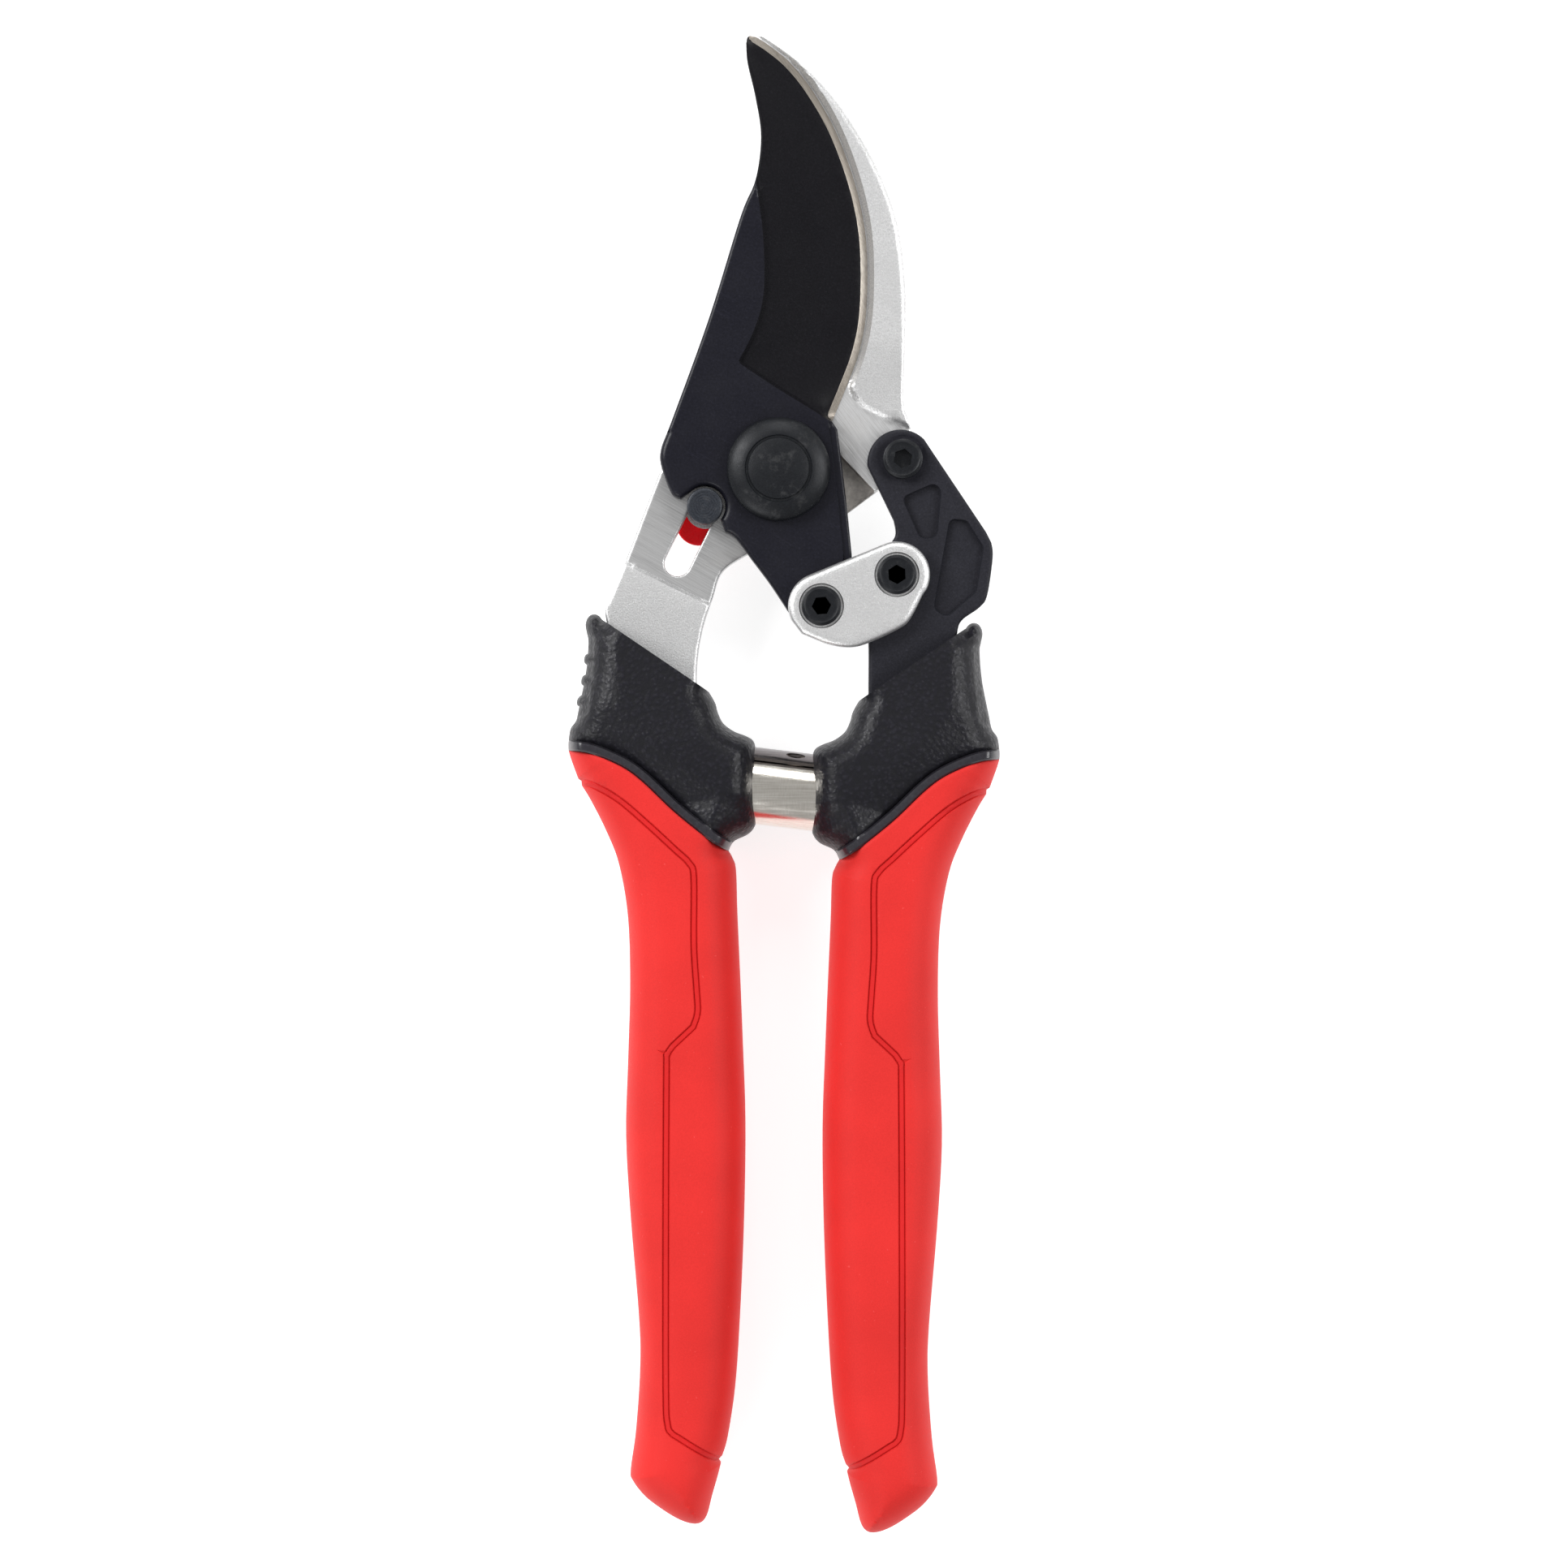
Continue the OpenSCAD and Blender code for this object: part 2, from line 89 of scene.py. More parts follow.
def spline(points, steps=6):
    """A smooth curve through points (Catmull-Rom)."""
    p = np.array(points, float)
    last = len(p) - 1
    out = []
    for i in range(last):
        a, b, c, d = p[max(i - 1, 0)], p[i], p[i + 1], p[min(i + 2, last)]
        for k in range(steps):
            t = k / steps
            out.append((2 * b + (c - a) * t + (2 * a - 5 * b + 4 * c - d) * t * t
                        + (3 * b - a - 3 * c + d) * t ** 3) / 2)
    return np.array(out + [p[last]])


def arc(centre, r, start, end, steps=16):
    a = np.radians(np.linspace(start, end, steps + 1))
    return np.array(centre) + r * np.stack([np.cos(a), np.sin(a)], 1)


def circle(centre, r, steps=64):
    return arc(centre, r, 0, 360, steps)[:-1]


def hexagon(centre, across_flats, turn=0.0):
    return arc(centre, across_flats / 2 / math.cos(math.pi / 6), turn, turn + 360, 6)[:-1]


def rounded(corners, steps=6):
    """A polygon of (x, y, r) corners, each rounded to its radius r."""
    c = np.array(corners, float)
    out = []
    for i, (x, y, r) in enumerate(c):
        q = np.array([x, y])
        u = c[i - 1][:2] - q
        v = c[(i + 1) % len(c)][:2] - q
        u, v = u / np.hypot(*u), v / np.hypot(*v)
        half = math.acos(np.dot(u, v)) / 2
        mid = (u + v) / np.hypot(*(u + v))
        centre = q + mid * r / math.sin(half)
        a, b = q + u * r / math.tan(half) - centre, q + v * r / math.tan(half) - centre
        start = math.degrees(math.atan2(a[1], a[0]))
        turn = math.degrees(math.atan2(a[0] * b[1] - a[1] * b[0], np.dot(a, b)))
        out.append(arc(centre, r, start, start + turn, steps))
    return np.concatenate(out)


def clean(points, closed=True, gap=1e-3):
    """The points without those that repeat the one before."""
    p = np.asarray(points, float)
    keep = [0]
    for i in range(1, len(p)):
        if np.hypot(*(p[i] - p[keep[-1]])) > gap:
            keep.append(i)
    if closed and np.hypot(*(p[keep[0]] - p[keep[-1]])) <= gap:
        keep.pop()
    return p[keep]


def dense(points, step, closed=True):
    p = clean(points, closed)
    ends = np.roll(p, -1, 0) if closed else p[1:]
    out = []
    for a, b in zip(p, ends):
        n = max(1, math.ceil(np.hypot(*(b - a)) / step))
        out += [a + (b - a) * k / n for k in range(n)]
    return np.array(out if closed else out + [p[-1]])


def segments(line, closed):
    a = np.asarray(line, float)
    return (a, np.roll(a, -1, 0)) if closed else (a[:-1], a[1:])


def distance(at, line, closed=True):
    a, b = segments(line, closed)
    d = b - a
    size = np.maximum((d ** 2).sum(1), 1e-12)
    best = np.empty(len(at))
    for i in range(0, len(at), 2000):
        q = at[i:i + 2000, None, :] - a[None]
        t = np.clip((q * d).sum(2) / size, 0, 1)
        best[i:i + 2000] = np.sqrt(((q - t[..., None] * d) ** 2).sum(2).min(1))
    return best


def inside(at, loop):
    a, b = segments(loop, True)
    odd = np.zeros(len(at), bool)
    for (x1, y1), (x2, y2) in zip(a, b):
        cross = (y1 > at[:, 1]) != (y2 > at[:, 1])
        with np.errstate(divide="ignore", invalid="ignore"):
            x = (x2 - x1) * (at[:, 1] - y1) / (y2 - y1) + x1
        odd ^= cross & (at[:, 0] < x)
    return odd


def depth(at, loop):
    """How far in from a loop's edge each point is, and less than 0 outside."""
    return distance(at, loop) * np.where(inside(at, loop), 1, -1)


def area(loop):
    a, b = segments(loop, True)
    return (a[:, 0] * b[:, 1] - b[:, 0] * a[:, 1]).sum() / 2


def shifted(line, by, closed=False):
    """The line moved sideways, to its left where by is positive."""
    p = clean(line, closed)
    d = np.diff(np.concatenate([p, p[:1]]), axis=0) if closed else np.diff(p, axis=0)
    n = np.stack([-d[:, 1], d[:, 0]], 1) / np.hypot(d[:, 0], d[:, 1])[:, None]
    if closed:
        before, after = np.roll(n, 1, 0), n
    else:
        before, after = np.concatenate([n[:1], n]), np.concatenate([n, n[-1:]])
    mitre = (before + after) / np.maximum(1 + (before * after).sum(1), 0.35)[:, None]
    return p + by * mitre


def ramp(t, a, b):
    """A smooth rise from 0 at a to 1 at b."""
    t = np.clip((t - a) / (b - a), 0, 1)
    return t * t * (3 - 2 * t)


def round_off(edge, r):
    """How far a rounded edge of radius r has dropped, at a distance in from that edge."""
    t = np.clip(1 - edge / r, 0, 1)
    return r * (1 - np.sqrt(1 - t * t))


# ---------------------------------------------------------------- mesh builders

def make(name, verts, faces, body, materials, indices=None, stands_for=(), angle=35):
    """A shaded mesh object that rides on a body, from vertices in millimetres."""
    mesh = bpy.data.meshes.new(name)
    mesh.from_pydata([tuple(v) for v in np.asarray(verts, float) * MM], [], [tuple(f) for f in faces])
    for m in materials:
        mesh.materials.append(m)
    if indices is not None:
        mesh.polygons.foreach_set("material_index", np.asarray(indices, np.int32))
    mesh.polygons.foreach_set("use_smooth", np.ones(len(mesh.polygons), bool))
    mesh.set_sharp_from_angle(angle=math.radians(angle))
    mesh.validate()
    mesh.update()
    obj = bpy.data.objects.new(name, mesh)
    bpy.context.scene.collection.objects.link(obj)
    if body:
        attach(obj, body)
    if stands_for:
        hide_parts(*stands_for)
    return obj


RINGS = (0.06, 0.16, 0.32, 0.55, 0.9)


def relief_mesh(outline, top, base, holes=(), lines=(), rings=RINGS, grid=0.9, step=0.5,
                region=None):
    """A closed solid over a flat outline: top and base give each point's height from its place,
    its distance in from the outline and its distance from the holes."""
    loops = [dense(outline, step)] + [dense(h, min(step, 0.35)) for h in holes]
    points, edges = [], []

    def valid(p, gap):
        ok = inside(p, loops[0])
        for h in loops[1:]:
            ok &= ~inside(p, h)
        for loop in loops:
            ok &= distance(p, loop) > gap
        return ok

    def add(p, keep, closed):
        index = np.full(len(p), -1)
        index[keep] = len(points) + np.arange(keep.sum())
        points.extend(p[keep])
        pairs = zip(range(len(p)), list(range(1, len(p))) + ([0] if closed else []))
        edges.extend((index[i], index[j]) for i, j in pairs if index[i] >= 0 and index[j] >= 0)

    for k, loop in enumerate(loops):
        add(loop, np.ones(len(loop), bool), True)
        inward = (1 if area(loop) > 0 else -1) * (1 if k == 0 else -1)
        for r in rings if k == 0 else [x for x in rings if x < 0.6]:
            ring = shifted(loop, inward * r, True)
            add(ring, valid(ring, 0.96 * r), True)
    for line in lines:
        fine = dense(line, step * 0.8, False)
        add(fine, valid(fine, 0.01), False)
    low, high = loops[0].min(0), loops[0].max(0)
    nx, ny = (np.ceil((high - low) / (grid, grid * 0.866))).astype(int) + 1
    x = low[0] + grid * (np.arange(nx)[None, :] + 0.5 * (np.arange(ny)[:, None] % 2))
    y = np.broadcast_to(low[1] + 0.866 * grid * np.arange(ny)[:, None], x.shape)
    fill = np.stack([x.ravel(), y.ravel()], 1)
    keep = valid(fill, rings[-1] + 0.35 * grid)
    for line in lines:
        keep &= distance(fill, line, False) > 0.3 * grid
    add(fill, keep, False)
    edges = [e for e in edges if min(e) < len(points) - keep.sum()]

    flat, _, tris, *_ = delaunay_2d_cdt([Vector(p) for p in points], edges, [], 0, 1e-6)
    at = np.array([tuple(v) for v in flat])
    tris = np.array([t for t in tris if len(t) == 3])
    centre = at[tris].mean(1)
    keep = inside(centre, loops[0])
    for h in loops[1:]:
        keep &= ~inside(centre, h)
    tris, centre = tris[keep], centre[keep]
    used = np.unique(tris)
    renumber = np.full(len(at), -1)
    renumber[used] = np.arange(len(used))
    at, tris = at[used], renumber[tris]
    turned = np.cross(at[tris[:, 1]] - at[tris[:, 0]], at[tris[:, 2]] - at[tris[:, 0]]) < 0
    tris[turned] = tris[turned][:, ::-1]

    edge = distance(at, loops[0])
    hole = np.min([distance(at, h) for h in loops[1:]], 0) if holes else np.full(len(at), 99.0)
    z_top, z_base = top(at, edge, hole), base(at, edge, hole)
    n = len(at)
    verts = np.concatenate([np.column_stack([at, z_top]), np.column_stack([at, z_base])])
    faces = [tuple(t) for t in tris] + [tuple(t[::-1] + n) for t in tris]
    kinds = region(centre) if region else np.zeros(len(tris), int)
    sides = {(t[i], t[(i + 1) % 3]) for t in tris.tolist() for i in range(3)}
    wall = [(j, i, i + n, j + n) for i, j in sides if (j, i) not in sides]
    wall.sort()
    indices = np.concatenate([kinds, np.zeros(len(tris) + len(wall), int)])
    return verts, faces + wall, indices


def relief(name, body, slot_name, materials, stands_for, outline, top, base, **options):
    verts, faces, indices = relief_mesh(outline, top, base, **options)
    return make(name, verts, faces, body, materials, indices, stands_for)


def revolve(name, centre, profile, body, materials, stands_for=(), steps=96, angle=30):
    """A turned piece about a vertical axis: profile is (radius, z) from the axis round to the axis."""
    verts, faces = [], []
    rows = []
    for r, z in profile:
        if r < 1e-6:
            rows.append([len(verts)])
            verts.append((centre[0], centre[1], z))
        else:
            rows.append(list(range(len(verts), len(verts) + steps)))
            ring = circle(centre, r, steps)
            verts += [(x, y, z) for x, y in ring]
    closed = [*zip(rows, rows[1:])]
    if len(rows[0]) > 1:
        closed.append((rows[-1], rows[0]))
    for a, b in closed:
        for i in range(steps):
            j = (i + 1) % steps
            quad = [a[i % len(a)], b[i % len(b)], b[j % len(b)], a[j % len(a)]]
            face = list(dict.fromkeys(quad))
            if len(face) > 2:
                faces.append(face)
    return make(name, verts, faces, body, materials, None, stands_for, angle)


# ---------------------------------------------------------------- materials

class Look:
    """A procedural material under construction. Sizes are given in millimetres of grain."""

    def __init__(self, name):
        self.material = bpy.data.materials.new(name)
        self.material.use_nodes = True
        self.tree = self.material.node_tree
        self.shader = self.tree.nodes["Principled BSDF"]
        self.place = self.new("ShaderNodeTexCoord").outputs["Object"]

    def new(self, kind, **values):
        node = self.tree.nodes.new(kind)
        for key, value in values.items():
            setattr(node, key, value)
        return node

    def link(self, a, b):
        self.tree.links.new(a, b)

    def set(self, **values):
        for key, value in values.items():
            self.shader.inputs[key.replace("_", " ")].default_value = value

    def mapped(self, turn=0.0, stretch=(1, 1, 1)):
        """Object space turned first and then stretched by these shares."""
        node = self.new("ShaderNodeMapping", vector_type="TEXTURE")
        node.inputs["Rotation"].default_value[2] = math.radians(turn)
        node.inputs["Scale"].default_value = [1 / x for x in stretch]
        self.link(self.place, node.inputs["Vector"])
        return node.outputs["Vector"]

    def noise(self, size, detail=2.0, rough=0.5, place=None):
        node = self.new("ShaderNodeTexNoise")
        node.inputs["Scale"].default_value = 1 / (size * MM)
        node.inputs["Detail"].default_value = detail
        node.inputs["Roughness"].default_value = rough
        self.link(place or self.place, node.inputs["Vector"])
        return node.outputs["Fac"]

    def cells(self, size, feature="F1", place=None):
        node = self.new("ShaderNodeTexVoronoi", feature=feature)
        node.inputs["Scale"].default_value = 1 / (size * MM)
        self.link(place or self.place, node.inputs["Vector"])
        return node.outputs["Distance"]

    def levels(self, value, low, high, to_low=0.0, to_high=1.0):
        node = self.new("ShaderNodeMapRange")
        for key, number in (("From Min", low), ("From Max", high), ("To Min", to_low),
                            ("To Max", to_high)):
            node.inputs[key].default_value = number
        self.link(value, node.inputs["Value"])
        return node.outputs["Result"]

    def colours(self, value, *stops):
        node = self.new("ShaderNodeValToRGB")
        elements = node.color_ramp.elements
        while len(elements) < len(stops):
            elements.new(0.5)
        for element, (at, colour) in zip(elements, stops):
            element.position = at
            element.color = (*colour, 1)
        self.link(value, node.inputs["Fac"])
        return node.outputs["Color"]

    def mix(self, fac, a, b, kind="RGBA"):
        node = self.new("ShaderNodeMix", data_type=kind)
        which = {"FLOAT": (2, 3, 0), "RGBA": (6, 7, 2)}[kind]
        for socket, value in ((0, fac), (which[0], a), (which[1], b)):
            if isinstance(value, (int, float)):
                node.inputs[socket].default_value = value
            elif isinstance(value, tuple):
                node.inputs[socket].default_value = (*value, 1)
            else:
                self.link(value, node.inputs[socket])
        return node.outputs[which[2]]

    def bump(self, height, size, strength=1.0):
        node = self.new("ShaderNodeBump")
        node.inputs["Distance"].default_value = size * MM
        node.inputs["Strength"].default_value = strength
        self.link(height, node.inputs["Height"])
        return node.outputs["Normal"]

    def done(self, colour=None, roughness=None, normal=None):
        for name, value in (("Base Color", colour), ("Roughness", roughness), ("Normal", normal)):
            if value is not None:
                self.link(value, self.shader.inputs[name])
        return self.material


def blasted_steel(name, grey=0.70, rough=0.42, grain=0.24):
    """Bead-blasted bright steel: fine sparkling grain over a soft cloudiness."""
    m = Look(name)
    fine, cloud = m.noise(grain, 3, 0.6), m.noise(6, 2)
    dark, plain, pale = ((level,) * 3 for level in (grey * 0.72, grey, min(grey * 1.3, 1)))
    speck = m.colours(fine, (0.30, dark), (0.52, plain), (0.72, pale))
    colour = m.mix(m.levels(cloud, 0.35, 0.7, 0, 0.35), speck, (grey * 0.86,) * 3)
    m.set(Metallic=0.85, Specular_IOR_Level=0.5)
    return m.done(colour, m.levels(fine, 0.3, 0.75, rough + 0.1, rough - 0.1),
                  m.bump(fine, 0.06, 0.9))


def brushed_steel(name, turn, grey=0.52, tint=(1.0, 1.0, 1.0)):
    """Milled steel with long parallel scratches."""
    m = Look(name)
    lines = m.noise(0.16, 3, 0.65, m.mapped(turn, (1, 0.03, 1)))
    broad = m.noise(0.8, 2, 0.5, m.mapped(turn, (1, 0.06, 1)))
    both = m.mix(0.35, lines, broad, "FLOAT")
    tone = lambda share: tuple(grey * share * t for t in tint)
    colour = m.colours(both, (0.32, tone(0.66)), (0.5, tone(1)), (0.68, tone(1.28)))
    stain = m.noise(9, 3)
    colour = m.mix(m.levels(stain, 0.5, 0.75, 0, 0.3), colour, (0.44, 0.41, 0.37))
    m.set(Metallic=0.85)
    return m.done(colour, m.levels(both, 0.3, 0.7, 0.5, 0.32), m.bump(both, 0.05, 0.8))


def coat(name, colour=(0.0062, 0.0062, 0.0098), rough=0.32, grain=0.35, level=0.2, scratch=0.0):
    """A thin dark coating with fine grain and a few pale rub marks."""
    m = Look(name)
    fine, cloud = m.noise(grain, 4, 0.65), m.noise(5, 3, 0.6)
    lift = tuple(c * 2.4 + 0.004 for c in colour)
    base = m.colours(fine, (0.35, colour), (0.62, tuple(c * 1.5 for c in colour)), (0.78, lift))
    worn = m.levels(m.noise(1.4, 5, 0.7), 0.66, 0.78, 0, 0.5)
    base = m.mix(worn, base, lift)
    if scratch:
        lines = m.noise(0.3, 2, 0.5, m.mapped(62, (1, 0.04, 1)))
        base = m.mix(m.levels(lines, 0.62, 0.75, 0, scratch), base, tuple(c * 3 for c in colour))
    m.set(Specular_IOR_Level=level)
    return m.done(base, m.levels(cloud, 0.3, 0.7, rough - 0.05, rough + 0.08),
                  m.bump(fine, 0.03, 0.6))


def pebbled_plastic(name):
    """Near-black moulded plastic with a raised leather-like grain."""
    m = Look(name)
    warp = m.new("ShaderNodeVectorMath", operation="ADD")
    wobble = m.new("ShaderNodeTexNoise")
    wobble.inputs["Scale"].default_value = 1 / (1.2 * MM)
    shrink = m.new("ShaderNodeVectorMath", operation="SCALE")
    shrink.inputs["Scale"].default_value = 0.5 * MM
    m.link(m.place, wobble.inputs["Vector"])
    m.link(wobble.outputs["Color"], shrink.inputs[0])
    m.link(m.place, warp.inputs[0])
    m.link(shrink.outputs[0], warp.inputs[1])
    cells = m.cells(0.62, "SMOOTH_F1", warp.outputs[0])
    fine = m.noise(0.3, 3, 0.6)
    grain = m.mix(0.45, m.levels(cells, 0.1, 0.62, 1, 0), fine, "FLOAT")
    colour = m.colours(grain, (0.2, (0.005, 0.005, 0.007)), (0.5, (0.0075, 0.0072, 0.0105)),
                       (0.85, (0.017, 0.0165, 0.022)))
    m.set(Specular_IOR_Level=0.24)
    return m.done(colour, m.levels(grain, 0.2, 0.8, 0.46, 0.3), m.bump(grain, 0.12, 0.7))


def rubber(name, colour):
    """Satin rubber with a fine moulded grain and a few pale specks."""
    m = Look(name)
    fine, cloud, speck = m.noise(0.22, 3, 0.6), m.noise(12, 2), m.noise(0.5, 2, 0.4)
    dark = tuple(c * 0.86 for c in colour)
    pale = (min(colour[0] * 1.1, 1), colour[1] + 0.06, colour[2] + 0.06)
    base = m.colours(m.mix(0.5, fine, cloud, "FLOAT"), (0.36, dark), (0.62, colour))
    base = m.mix(m.levels(speck, 0.74, 0.8, 0, 0.5), base, pale)
    m.set(Specular_IOR_Level=0.12)
    return m.done(base, m.levels(fine, 0.3, 0.7, 0.5, 0.62), m.bump(fine, 0.035, 0.6))


def oxide(name, tone=0.016, rough=0.32, worn=0.25, size=2.0):
    """Black oxide steel: dark, slightly blue, with bright worn patches."""
    m = Look(name)
    fine, patch = m.noise(0.2, 4, 0.7), m.noise(size, 5, 0.7)
    base = m.colours(fine, (0.3, (tone * 0.7, tone * 0.75, tone)),
                     (0.7, (tone * 1.8, tone * 2.1, tone * 2.6)))
    base = m.mix(m.levels(patch, 0.55, 0.72, 0, worn), base, (0.12, 0.12, 0.12))
    m.set(Metallic=0.2, Specular_IOR_Level=0.28)
    return m.done(base, m.levels(patch, 0.3, 0.7, rough, rough + 0.16), m.bump(fine, 0.025, 0.7))


def polished_strip(name, low=(0.72, 0.68, 0.61), high=(0.95, 0.91, 0.84)):
    """Polished spring strip with faint rolling lines along its length."""
    m = Look(name)
    lines = m.noise(0.3, 2, 0.5, m.mapped(0, (0.04, 1, 1)))
    cross = m.noise(0.12, 2, 0.5, m.mapped(0, (1, 0.1, 0.1)))
    both = m.mix(0.3, lines, cross, "FLOAT")
    colour = m.colours(both, (0.3, low), (0.7, high))
    m.set(Metallic=1.0)
    return m.done(colour, m.levels(both, 0.3, 0.7, 0.12, 0.24), m.bump(both, 0.01, 0.5))


def gloss_red(name):
    m = Look(name)
    fine, cloud = m.noise(0.3, 3), m.noise(2, 3)
    colour = m.colours(cloud, (0.3, (0.88, 0.002, 0.008)), (0.7, (1.0, 0.005, 0.012)))
    m.set(Specular_IOR_Level=0.18)
    return m.done(colour, m.levels(fine, 0.3, 0.7, 0.24, 0.36), m.bump(fine, 0.015, 0.5))


BLASTED = blasted_steel("blasted_steel")
BRUSHED = brushed_steel("brushed_steel_arm", 60)
BRUSHED_HEAD = brushed_steel("brushed_steel_head", 38, 0.70)
CAST = coat("raw_cast_corner", (0.29, 0.27, 0.25), 0.42, 1.1, 0.5)
EDGE = brushed_steel("sharpened_edge", 30, 0.33, (1.0, 0.9, 0.78))
COAT = coat("blade_coat", scratch=0.25)
GROUND = coat("blade_coat_ground", (0.0048, 0.0046, 0.0058), 0.46, 0.3, 0.08, scratch=0.15)
LEVER_COAT = coat("charcoal_coat", (0.0125, 0.0125, 0.0165), 0.48, 0.28, 0.15)
LINK_STEEL = blasted_steel("link_steel", 0.80, 0.36, 0.24)
OXIDE = oxide("black_oxide", 0.006, 0.34, 0.15)
BOLT_OXIDE = oxide("bolt_oxide", 0.006, 0.34, 0.25, 3.0)
LOCK_STEEL = oxide("lock_steel", 0.020, 0.3, 0.2, 1.2)
BRIGHT = blasted_steel("bright_steel", 0.62, 0.36, 0.4)
SPRING = polished_strip("spring_steel")
# A darker copy of the spring steel: painted shade and a painted dark reflection of the collars, for the
# outer turn's first half.
SPRING_PAINTED_SHADE = polished_strip("spring_steel_painted_shade", (0.16, 0.145, 0.145), (0.27, 0.245, 0.25))
LOCK_RED = gloss_red("lock_red")
PLASTIC = pebbled_plastic("collar_plastic")
LIP = coat("collar_lip", (0.014, 0.013, 0.017), 0.3, 0.5, 0.5)
RUBBER = rubber("grip_rubber", (0.66, 0.028, 0.025))
# A darker red for the groove band: painted shade in the crease.
GROOVE_PAINTED_SHADE = rubber("grip_groove_painted_shade", (0.60, 0.018, 0.018))


# ---------------------------------------------------------------- hook and arm

CUTTING_EDGE = spline([(7.5, 54.6), (9.2, 58.7), (10.95, 63.4), (12.05, 68.6), (12.35, 75.5),
                       (11.95, 82.2), (10.4, 89.2), (7.6, 96.7), (4.1, 102.8), (0.95, 106.7),
                       (-1.9, 109.1), (-4.2, 110.6)])
HOOK_OUTER = spline([(-4, 110.66), (-2.9, 110.5), (1.8, 107.2), (5.4, 103.8), (9.3, 98.9), (13.7, 91.3),
                     (16.8, 82.7), (18, 72.1), (17.7, 57.6), (18.3, 54.2), (19, 52)])
HOOK_INNER = spline([(-12, 54.5), (-4, 57), (1.5, 55), (5, 57), (7.8, 62), (9.2, 69), (9.4, 76),
                     (8.4, 84.5), (6.2, 91.2), (3, 97.8), (-1, 104.2), (-4.5, 109.6)])
ARM_RIGHT = spline([(9.1, 39.9), (5, 38.4), (-0.5, 36.6), (-5.1, 34.2), (-9.1, 31.5), (-10.6, 27.5),
                    (-12.1, 22.8), (-12.9, 17.4), (-12.8, 12), (-12.6, 7)])
ARM_LEFT = spline([(-25.0, 7), (-25.4, 12), (-25.6, 20), (-26.5, 25.7), (-25.8, 27.4), (-23.3, 33.5),
                   (-18.4, 46.2), (-16.5, 50.5)])
RIM_LINE = np.concatenate([shifted(CUTTING_EDGE, -0.12)[::-1][:-2],
                           spline([(9.4, 58.8), (9.9, 57.4), (11.5, 55.7), (13.2, 54.8),
                                   (15.1, 53.9), (17, 53.2), (20, 51.6)])])
RIM_AREA = np.concatenate([RIM_LINE, [(26, 51.6), (26, 116), (-4.5, 116)]])
STEP_LINE = np.array([(-26.5, 34.6), (-23.3, 33.0), (-11.3, 27.0), (-8, 25.4)])
ARM_AREA = np.concatenate([STEP_LINE, [(-8, 0), (-30, 0), (-30, 34)]])
CORNER = np.array([(7.0, 50.2), (8.5, 48.6), (14.5, 42.3), (16.8, 40), (12, 36), (2, 34), (5, 45)])


def lock_slot(width):
    a, b = np.array(LOCK_SHUT), np.array(LOCK_FREE)
    angle = math.degrees(math.atan2(*(b - a)[::-1]))
    return np.concatenate([arc(a, width / 2, angle + 90, angle + 270),
                           arc(b, width / 2, angle - 90, angle + 90)])


def build_hook():
    outline = np.concatenate([HOOK_OUTER, arc(LEVER_PIVOT, 4.4, 55, -125), ARM_RIGHT, ARM_LEFT,
                              HOOK_INNER])

    def top(p, edge, hole):
        low_end = 0.4 + 0.6 * ramp(p[:, 1], 55, 66)
        z = SHEAR_Z + RIM_T * low_end * ramp(depth(p, RIM_AREA), 0, 0.85)
        z += (ARM_Z - SHEAR_Z) * ramp(depth(p, ARM_AREA), -0.1, 0.6)
        z -= (SHEAR_Z - CORNER_Z) * ramp(depth(p, CORNER), -0.05, 0.2)
        soft = 0.45 + 0.35 * ramp(p[:, 1], 60, 75)
        return z - round_off(edge / soft, 1) * soft - round_off(hole, 0.25)

    def base(p, edge, hole):
        web = ramp(edge, 2.2, 2.8) * ramp(p[:, 1], 60, 64)
        return HOOK_Z + round_off(edge, 0.6) + round_off(hole, 0.25) + 0.35 * web

    def region(c):
        blasted, arm, head, cast = range(4)
        kind = np.where((c[:, 1] < 46) & (c[:, 0] < 5), arm, head)
        kind = np.where((depth(c, ARM_AREA) > 0) | (depth(c, RIM_AREA) > 0), blasted, kind)
        return np.where(depth(c, CORNER) > 0.05, cast, kind)

    lines = [RIM_LINE, shifted(RIM_LINE, 0.4), shifted(RIM_LINE, 0.85), STEP_LINE,
             shifted(STEP_LINE, -0.5)]
    lines += [np.concatenate([CORNER, CORNER[:1]]), shifted(CORNER, -0.2, True)]
    lines += [[(5, 46), (-30, 46)]]
    relief("hook_forging", "hook_side", "forged_steel", [BLASTED, BRUSHED, BRUSHED_HEAD, CAST],
           ["hook_frame"], outline, top, base, holes=[lock_slot(3.9)], lines=lines, region=region)


# ---------------------------------------------------------------- cutting blade

BLADE_BACK = spline([(-5.6, 109.4), (-5.4, 106.6), (-4.2, 101.4), (-3.4, 95.6), (-4.2, 89.2),
                     (-6.4, 83.8), (-11.1, 68.7), (-16.4, 54.1), (-18.2, 49.3), (-18, 46.4),
                     (-16.6, 42.9), (-15.3, 42.1)])
TAIL_LEFT = spline([(-8.7, 37.2), (-7.1, 36.2), (-4.7, 33), (-2, 29.4), (1.1, 24.7)])
NOTCH = arc(LOCK_SHUT, 3.05, 135, -40, 24)
GRIND_BACK = spline([(-4.2, 89.2), (-3.1, 81), (-3, 72.5), (-4.4, 67), (-6.8, 62.2)])
GRIND_FOOT = spline([(-6.8, 62.2), (-1.4, 58.6), (3.3, 55.7), (8.6, 52.4)])
COAT_EDGE = shifted(CUTTING_EDGE, 1.0)


